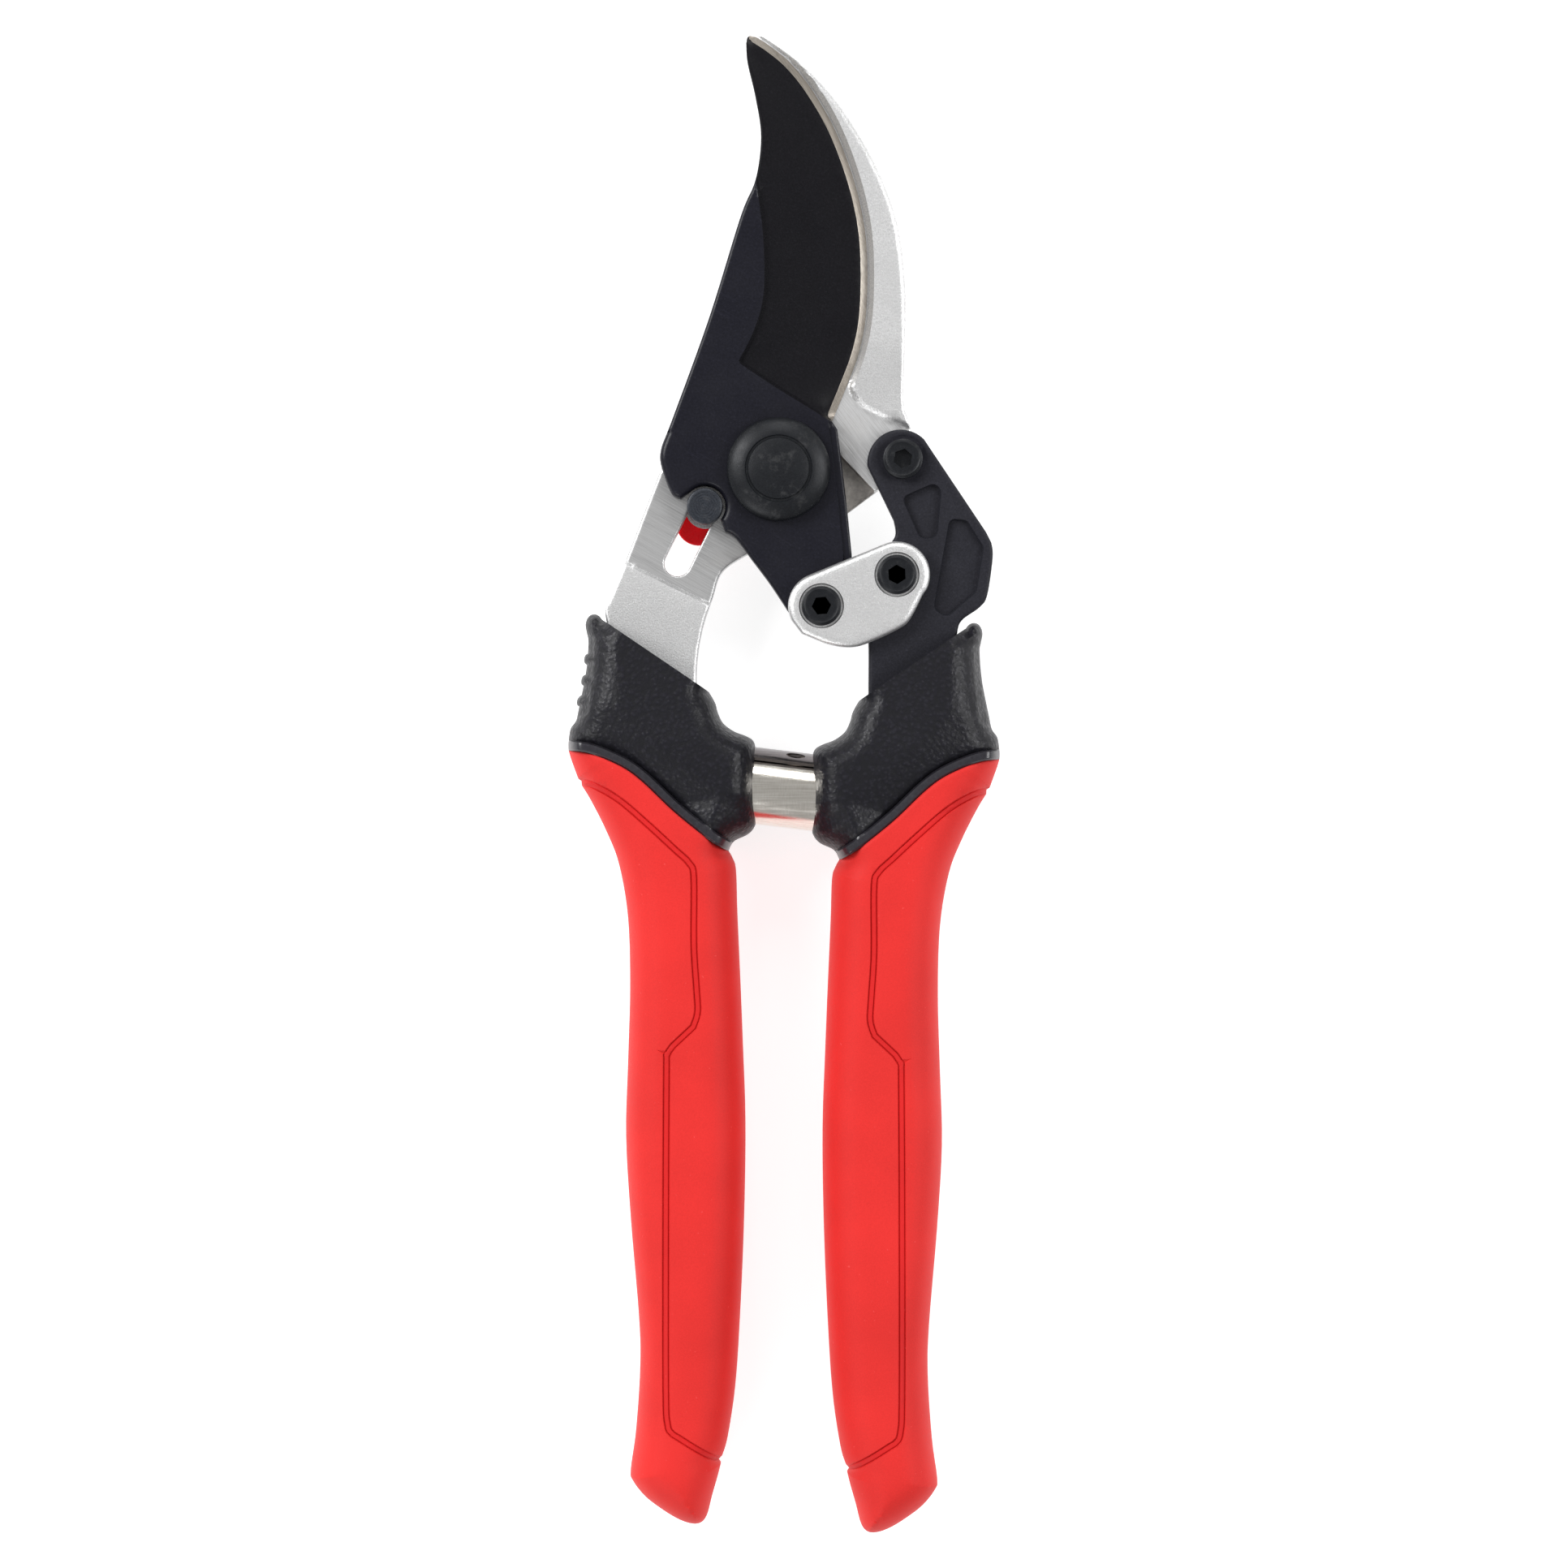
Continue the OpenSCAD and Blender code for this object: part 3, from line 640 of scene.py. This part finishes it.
def build_blade():
    outline = np.concatenate([BLADE_BACK, NOTCH, TAIL_LEFT, arc(TAIL_PIVOT, 4.7, 205, 360),
                              [(10, 33.9), (9.3, 40.9), (8.4, 48.3), (7.9, 52.3), (7.1, 53.5)],
                              CUTTING_EDGE, arc((-4.9, 110.1), 0.59, 60, 170, 6)])
    upper_back = BLADE_BACK[BLADE_BACK[:, 1] > 89]
    thick_side = np.concatenate([upper_back, GRIND_BACK, GRIND_FOOT])
    ground_area = np.concatenate([[(-20, 112), (-20, 89.2)], GRIND_BACK, GRIND_FOOT,
                                  [(30, 52.4), (30, 112)]])
    flank = np.array([(7.9, 52.3), (8.4, 48.3), (9.3, 40.9), (10, 33.9), (10, 20)])

    def top(p, edge, hole):
        from_edge = distance(p, CUTTING_EDGE, False)
        from_back = distance(p, thick_side, False)
        share = np.clip((from_edge - 1) / (from_edge - 1 + from_back + 1e-6), 0, 1)
        face = np.where(from_edge < 1, BLADE_Z + 0.06 + 0.75 * from_edge, 10.86 + 1.75 * share)
        ground = ramp(depth(p, ground_area), -0.15, 0.55)
        z = BLADE_TOP + (face - BLADE_TOP) * ground
        soft = np.where(p[:, 1] > 88, 0.4, np.where(p[:, 0] < 3, 0.95, 0.4))
        soft = np.where(p[:, 1] > 52, np.minimum(soft, 0.55), soft)
        away = ramp(from_edge, 0.5, 2)
        z -= 0.35 * ramp(-distance(p, flank, False), -1.3, -1.15) * (1 - ground)
        return z - away * round_off(edge / soft, 1) * soft

    def base(p, edge, hole):
        return np.full(len(p), BLADE_Z)

    def region(c):
        from_edge = distance(c, CUTTING_EDGE, False)
        kind = np.where(depth(c, ground_area) > 0.1, 1, 0)
        return np.where((from_edge < 1.0) & (c[:, 1] > 53.5), 2, kind)

    lines = [COAT_EDGE, GRIND_BACK, GRIND_FOOT, shifted(GRIND_BACK, 0.5), shifted(GRIND_FOOT, 0.5),
             shifted(flank, -1.15), shifted(flank, -1.3)]
    relief("cutting_blade_coated", "blade", "coated_blade", [COAT, GROUND, EDGE],
           ["cutting_blade"], outline, top, base, lines=lines, region=region, grid=1.0)


# ---------------------------------------------------------------- lever and link

def build_lever():
    head = arc((17.2, 47.4), 4.9, 185, 45, 24)
    flank = spline([(30.6, 35.6), (30.8, 33.4), (30, 27.9), (28.9, 26.1), (26.4, 24.3),
                    (25.6, 22.6), (25.5, 19), (25.5, 9)])
    left = spline([(12.5, 9), (12.5, 14), (12.5, 21), (12, 27), (12.4, 31), (14.6, 34.2),
                   (16.4, 36.6), (16.2, 38.9)])
    outline = np.concatenate([head, [(29.8, 37.2)], flank, left])
    small = rounded([(17.3, 42.3, 1), (23.4, 45, 1.3), (22.6, 36.2, 1.2), (20, 36.2, 1.2)])
    large = rounded([(24.4, 39.2, 1), (27, 38.9, 1), (29.5, 34.9, 1), (28.4, 28.3, 1.2),
                     (24, 24.5, 1.2), (22, 25.8, 1.2)])

    def top(p, edge, hole):
        z = BLADE_TOP - round_off(edge, 0.5)
        for pocket in (small, large):
            z = z - 0.8 * ramp(depth(p, pocket), 0, 0.22)
        seat = np.hypot(p[:, 0] - LEVER_PIVOT[0], p[:, 1] - LEVER_PIVOT[1])
        return z - 0.12 * ramp(-seat, -3.6, -3.35)

    def base(p, edge, hole):
        low = NECK_Z + (BLADE_Z - NECK_Z) * ramp(p[:, 1], 22.2, 22.9)
        return low + round_off(edge, 0.4)

    lines = []
    for pocket in (small, large):
        loop = np.concatenate([pocket, pocket[:1]])
        inner = shifted(pocket, 0.22 if area(pocket) > 0 else -0.22, True)
        lines += [loop, np.concatenate([inner, inner[:1]])]
    for r in (3.35, 3.6):
        lines.append(arc(LEVER_PIVOT, r, 0, 360, 64))
    lines += [[(10, 22.2), (28, 22.2)], [(10, 22.9), (28, 22.9)]]
    relief("lever_forging", "lever_side", "charcoal_coat", [LEVER_COAT], ["lever"], outline, top,
           base, lines=lines)


def build_link():
    slant = math.degrees(math.atan2(LINK_PIVOT[1] - TAIL_PIVOT[1], LINK_PIVOT[0] - TAIL_PIVOT[0]))
    outline = np.concatenate([
        arc(TAIL_PIVOT, 4.9, slant + 90, 205, 20),
        spline([(2.6, 22.1), (6.6, 20.5), (10, 20.1), (13, 21), (17, 22.9), (18.6, 24.3),
                (20.4, 27.8)]),
        arc(LINK_PIVOT, 4.9, -25, slant + 90, 24)])
    sink_r, wall_in, wall_out = 3.2, 0.12, 0.05
    sinks = [arc(c, sink_r, 0, 360, 64) for c in (TAIL_PIVOT, LINK_PIVOT)]

    def top(p, edge, hole):
        z = LINK_TOP - round_off(edge, 0.9)
        for loop in sinks:
            z = z - 0.6 * ramp(depth(p, loop[:-1]), -0.12, 0.03)
        return z

    def base(p, edge, hole):
        return LINK_Z + round_off(edge, 0.4)

    lines = sinks + [shifted(s, -wall_in) for s in sinks] + [shifted(s, wall_out) for s in sinks]
    relief("link_forging", "link", "link_steel", [LINK_STEEL], ["link_plate"], outline, top, base,
           lines=lines)


# ---------------------------------------------------------------- fasteners and lock

def build_screw(name, centre, seat, head, body, stands_for, turn):
    """A low socket head with a bevelled rim, on its shank."""
    outer, socket = circle(centre, 2.9, 72), hexagon(centre, 2.5, turn)
    inner = shifted(socket, 0.05, True)
    ring = arc(centre, 2.45, 0, 360, 60)

    def top(p, edge, hole):
        z = seat + head - 0.28 * (1 - ramp(edge, 0, 0.42)) - 0.05 * ramp(edge, 0.42, 0.5)
        return z - 1.05 * ramp(depth(p, socket), 0, 0.05)

    def base(p, edge, hole):
        return seat + 0 * edge

    relief(name, body, "black_oxide", [OXIDE], [stands_for], outer, top, base,
           lines=[np.concatenate([socket, socket[:1]]), np.concatenate([inner, inner[:1]]), ring],
           rings=(0.1, 0.22, 0.42, 0.5), grid=0.5, step=0.3)


def build_bolt():
    r, seat, rim = 7.6, BOLT_SEAT, 1.0
    dome = [(r * math.cos(math.radians(a)), seat + rim + 2.3 * math.sin(math.radians(a)))
            for a in range(0, 50, 6)]
    profile = [(0, 9.0), (4, 9.0), (4, seat), (r - 0.25, seat), (r, seat + 0.25)] + dome
    profile += [(4.95, 16.02), (4.85, 15.86), (4.55, 15.86), (4.45, 16.12), (3.6, 16.33),
                (2.6, 16.46), (1.6, 16.55), (0.8, 16.59), (0, 16.6)]
    revolve("pivot_bolt_head", MAIN_PIVOT, profile, "hook_side", [BOLT_OXIDE],
            ["pivot_bolt"])


def build_nut(name, centre, low, high, flats, bore, body, stands_for, turn):
    """A hexagonal nut with bevelled corners, seen from behind."""
    outline = hexagon(centre, flats, turn)
    bevel_r = flats * 0.48

    def bevel(p, hole):
        r = np.hypot(p[:, 0] - centre[0], p[:, 1] - centre[1])
        return 0.55 * np.clip(r - bevel_r, 0, None) + 0.25 * (1 - ramp(hole, 0, 0.3))

    def top(p, edge, hole):
        return high - bevel(p, hole) * 0.6

    def base(p, edge, hole):
        return low + bevel(p, hole)

    relief(name, body, "black_oxide", [OXIDE], [stands_for], outline, top, base,
           holes=[circle(centre, bore / 2 + 0.02, 48)], lines=[arc(centre, bevel_r, 0, 360, 60)],
           rings=(0.15, 0.35), grid=0.6, step=0.4)


def build_button():
    r, low, high = 2.65, BLADE_Z, BLADE_TOP + 0.4
    foot, flange, pin_r, foot_r = 3.0, 3.3, 1.8, 2.3
    profile = [(0, foot), (foot_r, foot), (foot_r, flange), (pin_r, flange), (pin_r, low), (r, low),
               (r, high - 0.35),
               (r - 0.1, high - 0.12), (r - 0.35, high)]
    for ring in (2.0, 1.6, 1.2, 0.8, 0.4):
        profile += [(ring + 0.06, high), (ring, high - 0.05), (ring - 0.06, high)]
    revolve("lock_button_turned", LOCK_SHUT, profile + [(0, high)], "lock",
            [LOCK_STEEL], ["lock_button"])


def build_slider():
    a, b = np.array(LOCK_SHUT), np.array(LOCK_FREE)
    along = (b - a) / np.hypot(*(b - a))
    angle = math.degrees(math.atan2(along[1], along[0]))
    low, high, r, length, bore = 3.35, 4.95, 3.4, 2.3, 1.85
    outline = np.concatenate([arc(a, r, angle + 90, angle + 270, 24),
                              arc(a + length * along, r, angle - 90, angle + 90, 24)])
    relief("lock_slider_red", "lock", "lock_red", [LOCK_RED], ["lock_slider"], outline,
           lambda p, edge, hole: high - round_off(edge, 0.25),
           lambda p, edge, hole: low + round_off(edge, 0.35), holes=[circle(a, bore, 40)])


# ---------------------------------------------------------------- return spring

def punched(along, turned, centre, radii):
    """Which cells of a strip's grid stay round an oval hole, with the hole's rim drawn onto it."""
    off = np.stack([(along - centre[0]) / radii[0], (turned - centre[1]) / radii[1]])
    middle = (off[:, :-1, :-1] + off[:, 1:, 1:]) / 2
    keep = np.hypot(*middle) > 1
    open_, solid = np.zeros(along.shape, bool), np.zeros(along.shape, bool)
    for di in (0, 1):
        for dj in (0, 1):
            part = np.s_[di:di + keep.shape[0], dj:dj + keep.shape[1]]
            open_[part] |= ~keep
            solid[part] |= keep
    rim = open_ & solid
    size = np.hypot(*off)[rim]
    along[rim] = centre[0] + (along[rim] - centre[0]) / size
    turned[rim] = centre[1] + (turned[rim] - centre[1]) / size
    return keep


def strip_mesh(layers, keep):
    """A sheet's faces on both sides and round its rims, from its two layers of grid points."""
    n = keep.size + sum(keep.shape) + 1
    grid = np.arange(n).reshape(keep.shape[0] + 1, -1)
    cells = np.stack([grid[:-1, :-1], grid[:-1, 1:], grid[1:, 1:], grid[1:, :-1]], -1)[keep]
    sides = {(c[i], c[(i + 1) % 4]) for c in cells.tolist() for i in range(4)}
    wall = sorted((j, i, i + n, j + n) for i, j in sides if (j, i) not in sides)
    faces = np.concatenate([cells, cells[:, ::-1] + n, wall])
    used = np.unique(faces)
    renumber = np.full(2 * n, -1)
    renumber[used] = np.arange(len(used))
    verts = np.concatenate([layer.reshape(-1, 3) for layer in layers])[used]
    return verts, renumber[faces].tolist(), faces.min(1) % n // grid.shape[1]


def build_spring():
    """A volute of strip in three turns. It opens like a telescope: the outer turn stays in the
    hook side's seat, the inner one in the lever side's, and the middle one joins them."""
    radius, strip, pitch, turns, width = 5.98, 0.58, 0.78, 3.25, 12.36
    start, tilt, across = 43, 7, 29
    hole_centre, hole_size = (1.1, 17), (1.4, 8)
    centre = np.array([0, -0.95, GRIP_MID])
    axis = np.array([math.cos(math.radians(tilt)), -math.sin(math.radians(tilt)), 0])
    side = np.array([-axis[1], axis[0], 0])
    rows = np.concatenate([np.arange(0, 45, 2.5), np.arange(45, 360 * turns + 1, 5)])
    turned, along = np.meshgrid(rows, np.linspace(-width / 2, width / 2, across), indexing="ij")
    keep = punched(along, turned, hole_centre, hole_size)
    a = np.radians(start - turned)[..., None]
    out = side * np.cos(a) + np.array([0, 0, 1]) * np.sin(a)
    r = radius - pitch * turned / 360
    soft = np.zeros(along.shape)
    soft[:, [0, -1]] = 0.08
    layers = [centre + axis * along[..., None] + out * rr[..., None]
              for rr in (r - soft, r - strip + soft)]
    for name, body, first, last in (("volute_outer_turn", "hook_side", 0, 360),
                                    ("volute_middle_turn", None, 360, 720),
                                    ("volute_inner_turn", "lever_side", 720, 360 * turns)):
        part = np.flatnonzero((rows >= first) & (rows <= last))
        low, high = part[0], part[-1]
        verts, faces, row = strip_mesh([x[low:high + 1] for x in layers], keep[low:high])
        # The outer turn's first half takes the darker steel: painted shade and a painted dark reflection.
        painted_shade_half = rows[low + row] < 180
        obj = make(name, verts, faces, body, [SPRING, SPRING_PAINTED_SHADE], painted_shade_half,
                   ["return_spring"])
        if body is None:
            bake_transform(obj)


# ---------------------------------------------------------------- handles

SEAM = spline([(-31.9, 4.95), (-28.9, 4.6), (-26.1, 3.6), (-23.1, 2.1), (-20.4, 0), (-16.1, -4.1),
               (-11.1, -8.1), (-8.2, -9.9)])
COLLAR_RIBS = [(-30.0, 18.5), (-30.5, 15.4), (-30.9, 12.3)]
COLLAR_OUTER = spline([(-26.9, 24.3), (-27.4, 24.9), (-28.0, 25.15), (-28.7, 25.0), (-29.2, 24.4),
                       (-29.4, 23.5), (-29.2, 22.3), (-29.0, 21.2),
                       (-29.1, 18.8), (-29.4, 16.2), (-29.9, 13.6), (-30.4, 11.2), (-30.8, 9.4),
                       (-31.6, 8.2), (-31.9, 6.4), (-31.9, 4.95)])
COLLAR_INNER = spline([(-8.2, -9.9), (-7.4, -8.5), (-5.4, -7.5), (-4.4, -6.4), (-4.15, -5), (-4.15, 0),
                       (-4.2, 4.6), (-4.5, 6.3), (-5.6, 7.1), (-7.4, 7.8), (-9.0, 9.0), (-9.8, 10.6),
                       (-10.2, 12.0), (-11.1, 13.6)])
RIDGE = np.array([(-24.4, 34), (-24.4, 12), (-22.6, 9.7), (-19.6, 7.0), (-16, 4.3), (-13, 1.9),
                  (-10.8, 0.1), (-8.6, -1.1)])
BOSS_RIDGE = np.array([(-8.6, -1.1), (-10.2, -4.4), (-11.6, -8)])
SIDE_PANEL = rounded([(-27.8, 21.9, 0.8), (-28.1, 16, 3), (-28.7, 10, 1.2), (-33, 8.6, 1), (-33, 23, 1)])
# Half thickness of the handles by their place in y
HALF_COLLAR = ([-12, -5, 3, 6.4, 8.6, 12.4, 21, 25.2], [9.2, 9.2, 9.1, 8.9, 8.6, 8.2, 7.3, 6.7])
HALF_GRIP = ([-109.6, -107, -103.4, -95, -78, -52, -28, -7, 6],
             [8.6, 8.9, 9.15, 9.2, 9.2, 9.25, 9.2, 9.25, 9.2])
GRIP_OUTER = spline([(-31.9, 4.95), (-31.5, 3.6), (-30.7, 1.4), (-30.45, 0.75)])
GRIP_OUTER_LOW = spline([(-29.95, -0.2), (-28.5, -2.6), (-26.2, -7.2), (-24.4, -12), (-23.1, -19.8),
                         (-22.8, -30), (-23.1, -41), (-23.4, -52), (-22.7, -64.2), (-21.5, -78.6),
                         (-21.3, -86), (-21.9, -95.4), (-22.7, -101.4), (-22.4, -103), (-20.6, -105.3),
                         (-18.3, -107.1), (-15.9, -108.6), (-13.9, -109.35), (-12.4, -109.3),
                         (-11.4, -108.2), (-10.6, -105.2), (-9.8, -102.4), (-9.35, -100.6)], 5)
GRIP_INNER = spline([(-9.1, -99.3), (-8.3, -96.5), (-7.2, -89), (-6.5, -78.6), (-5.9, -64.2), (-5.7, -50),
                     (-6.1, -38), (-6.5, -28), (-6.9, -19), (-7.1, -12.8), (-7.6, -11), (-8.2, -9.9)], 5)
GROOVE = np.concatenate([
    spline([(-31.5, 0.5), (-30.2, 0.35), (-27.7, -0.3), (-24.1, -2.4), (-19.9, -6.0), (-16, -9.6),
            (-13.9, -11.6), (-13.2, -13.8), (-13.2, -23.4), (-12.8, -30.1), (-12.65, -33.4),
            (-13.3, -35.6)], 5),
    spline([(-16.3, -38.4), (-17.15, -39.8), (-17.2, -41.5), (-17.3, -60), (-17.3, -88.2), (-17.05, -93.8),
            (-16.4, -95.2), (-15.2, -96.0), (-9.6, -99.6), (-8, -100.5)], 5)])


def ribbed(outer, bumps):
    """The collar's outer edge with small round ribs standing out of it."""
    line = dense(outer, 0.12, False)
    out = line.copy()
    for x, y in bumps:
        near = np.sqrt(np.clip(1 - ((line[:, 1] - y) / 0.8) ** 2, 0, 1))
        out[:, 0] -= 0.5 * near
    return out


def pillow(edge, r):
    """Height share across a full round side: 0 at the outline, 1 from r inwards."""
    t = np.clip(1 - edge / r, 0, 1)
    return (1 - t ** 2.4) ** (1 / 2.4)


SIDE_RINGS = (0.006, 0.03, 0.09, 0.2, 0.38, 0.65, 1.0, 1.5, 2.1, 2.9, 3.9)


def handed(name, side, mesh, materials, stands_for):
    """The left handle's piece, or its mirror image a little lower for the right one."""
    verts, faces, indices = mesh
    verts = verts.copy()
    if side == "right":
        verts[:, 0] *= -1
        verts[:, 1] -= HANDLE_DROP
        faces = [tuple(f[::-1]) for f in faces]
    body = "hook_side" if side == "left" else "lever_side"
    return make(side + name, verts, faces, body, materials, indices, [side + stands_for])


def build_collar(side):
    outer = ribbed(COLLAR_OUTER, COLLAR_RIBS) if side == "left" else COLLAR_OUTER
    outline = np.concatenate([outer, SEAM, COLLAR_INNER])
    silhouettes = [outer, COLLAR_INNER]
    outer_facet = np.concatenate([RIDGE, BOSS_RIDGE[1:], [(-14, -20), (-45, -20), (-45, 34)]])
    boss_facet = np.concatenate([BOSS_RIDGE, [(-14, -20), (0, -20), (0, -1.6)]])

    def half(p):
        r = np.full(len(p), 99.0)
        for line in silhouettes:
            r = np.minimum(r, distance(p, line, False))
        h = np.interp(p[:, 1], *HALF_COLLAR)
        facet = np.clip(depth(p, outer_facet), 0, None)
        h -= 0.30 * (np.sqrt(facet ** 2 + 0.04) - 0.2)
        boss = np.clip(depth(p, boss_facet), 0, None)
        h -= 0.50 * (np.sqrt(boss ** 2 + 0.06) - 0.245)
        h -= 0.75 * ramp(depth(p, SIDE_PANEL), 0, 0.45)
        seam = distance(p, SEAM, False)
        lip = 1 - ramp(seam, 1.25, 1.5)
        h += lip * (np.interp(p[:, 1], *HALF_GRIP) - 0.25 - h)
        h -= 0.35 * np.exp(-((seam - 1.55) / 0.22) ** 2)
        return h * pillow(r, 4.2 - 1.6 * lip), seam

    def top(p, edge, hole):
        h, seam = half(p)
        return GRIP_MID + h - 0.3 * (1 - ramp(seam, 0, 0.3)) * (h > 1)

    def base(p, edge, hole):
        h, seam = half(p)
        return np.maximum(GRIP_MID - h + 0.3 * (1 - ramp(seam, 0, 0.3)) * (h > 1), FLOOR_GAP)

    def region(c):
        return np.where(distance(c, SEAM, False) < 1.5, 1, 0)

    panel = np.concatenate([SIDE_PANEL, SIDE_PANEL[:1]])
    lines = [shifted(SEAM, d) for d in (0.3, 1.25, 1.5, 1.8)] + [RIDGE, BOSS_RIDGE, panel]
    mesh = relief_mesh(outline, top, base, lines=lines, rings=SIDE_RINGS, step=0.4, region=region)
    handed("_collar_moulding", side, mesh, [PLASTIC, LIP], "_collar")


def build_grip(side):
    silhouette = np.concatenate([GRIP_OUTER, [(-30.0, 0.45)], GRIP_OUTER_LOW, [(-9.75, -100.0)],
                                 GRIP_INNER])
    outline = np.concatenate([SEAM[::-1], silhouette])

    side_r, line_at, line_deep, line_wide, band_deep = 6.2, 0.42, 0.34, 0.11, 0.12

    def half(p):
        r = distance(p, silhouette, False)
        h = np.interp(p[:, 1], *HALF_GRIP) * pillow(r, side_r)
        from_groove = distance(p, GROOVE, False)
        line = line_deep * np.exp(-((from_groove - line_at) / line_wide) ** 2)
        h -= (line + band_deep * (1 - ramp(from_groove, 0.3, 0.5))) * ramp(h, 2, 5)
        return h - round_off(distance(p, SEAM, False), 0.5) * ramp(h, 1, 3)

    def top(p, edge, hole):
        return GRIP_MID + half(p)

    def base(p, edge, hole):
        return np.maximum(GRIP_MID - half(p), FLOOR_GAP)

    def region(c):
        # Index 1, the darker red, is painted shade in the groove.
        return np.where(distance(c, GROOVE, False) < 0.5, 1, 0)

    lines = [shifted(GROOVE, d) for d in (-0.58, -0.42, -0.26, 0.26, 0.42, 0.58)]
    mesh = relief_mesh(outline, top, base, lines=lines, rings=SIDE_RINGS, step=0.5, grid=1.1,
                       region=region)
    handed("_grip_sleeve", side, mesh, [RUBBER, GROOVE_PAINTED_SHADE], "_grip")


# ---------------------------------------------------------------- assembly

def carried_over(node, material):
    """A CAD node that stays, with a procedural material."""
    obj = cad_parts[node]
    obj.data.materials.clear()
    obj.data.materials.append(material)


build_hook()
build_blade()
build_lever()
build_link()
build_bolt()
build_screw("lever_screw_head", LEVER_PIVOT, BOLT_SEAT, LEVER_HEAD, "hook_side", "lever_screw", 20)
build_screw("tail_screw_head", TAIL_PIVOT, LINK_SEAT, LINK_HEAD, "blade", "tail_screw", 5)
build_screw("link_screw_head", LINK_PIVOT, LINK_SEAT, LINK_HEAD, "lever_side",
            "link_screw", 33)
build_nut("pivot_nut_hex", MAIN_PIVOT, *MAIN_NUT_Z, 13, 8, "hook_side", "pivot_nut", 0)
build_nut("lever_nut_hex", LEVER_PIVOT, *LEVER_NUT_Z, 7, 4.4, "hook_side", "lever_nut", 0)
build_nut("tail_nut_hex", TAIL_PIVOT, *LINK_NUT_Z, LINK_NUT_FLATS, LINK_NUT_BORE, "blade",
          "tail_nut", 0)
build_nut("link_nut_hex", LINK_PIVOT, *LINK_NUT_Z, LINK_NUT_FLATS, LINK_NUT_BORE, "lever_side",
          "link_nut", 0)
build_button()
build_slider()
build_spring()
for hand in ("left", "right"):
    build_collar(hand)
    build_grip(hand)
carried_over("pivot_washer", BRIGHT)
carried_over("lock_washer", BRIGHT)


# ---------------------------------------------------------------- stage, light and camera

def build_stage():
    mesh = bpy.data.meshes.new("studio_floor")
    half_m = 3.0
    mesh.from_pydata([(-half_m, -half_m, 0), (half_m, -half_m, 0), (half_m, half_m, 0),
                      (-half_m, half_m, 0)], [], [(0, 1, 2, 3)])
    floor = bpy.data.objects.new("studio_floor", mesh)
    bpy.context.scene.collection.objects.link(floor)
    m = Look("studio_floor")
    colour = m.colours(m.noise(400, 1), (0.3, (0.50, 0.50, 0.50)), (0.7, (0.52, 0.52, 0.52)))
    m.set(Emission_Color=(1, 1, 1, 1), Emission_Strength=0.8, Specular_IOR_Level=0.0)
    mesh.materials.append(m.done(colour, m.levels(m.noise(100, 1), 0, 1, 0.9, 1.0)))


def soft_light(name, place, size, power):
    """A square light that faces the middle of the shears, placed in metres."""
    light = bpy.data.lights.new(name, "AREA")
    light.size = size
    light.energy = power
    obj = bpy.data.objects.new(name, light)
    obj.location = place
    obj.rotation_euler = (-Vector(place)).to_track_quat("-Z", "Y").to_euler()
    bpy.context.scene.collection.objects.link(obj)


def build_light():
    world = bpy.data.worlds.new("studio")
    world.use_nodes = True
    world.node_tree.nodes["Background"].inputs["Color"].default_value = (1, 1, 1, 1)
    world.node_tree.nodes["Background"].inputs["Strength"].default_value = 0.40
    bpy.context.scene.world = world
    soft_light("key", (-0.78, 0.45, 0.68), 0.5, 10)
    soft_light("fill", (0.82, 0.15, 0.64), 0.5, 6)
    soft_light("head", (0.05, 0.95, 0.6), 0.35, 3.5)
    soft_light("foot", (-0.5, -0.8, 0.55), 0.45, 3.5)


def build_camera():
    camera = bpy.data.cameras.new("camera")
    obj = bpy.data.objects.new("camera", camera)
    height, view_width, middle, sensor = 0.8, 0.23184, 0.011, 36
    camera.sensor_width = sensor
    camera.lens = sensor * (height - middle) / view_width
    obj.location = (0, 0, height)
    bpy.context.scene.collection.objects.link(obj)
    bpy.context.scene.camera = obj


build_stage()
build_light()
build_camera()
bpy.context.scene.view_settings.view_transform = "Standard"
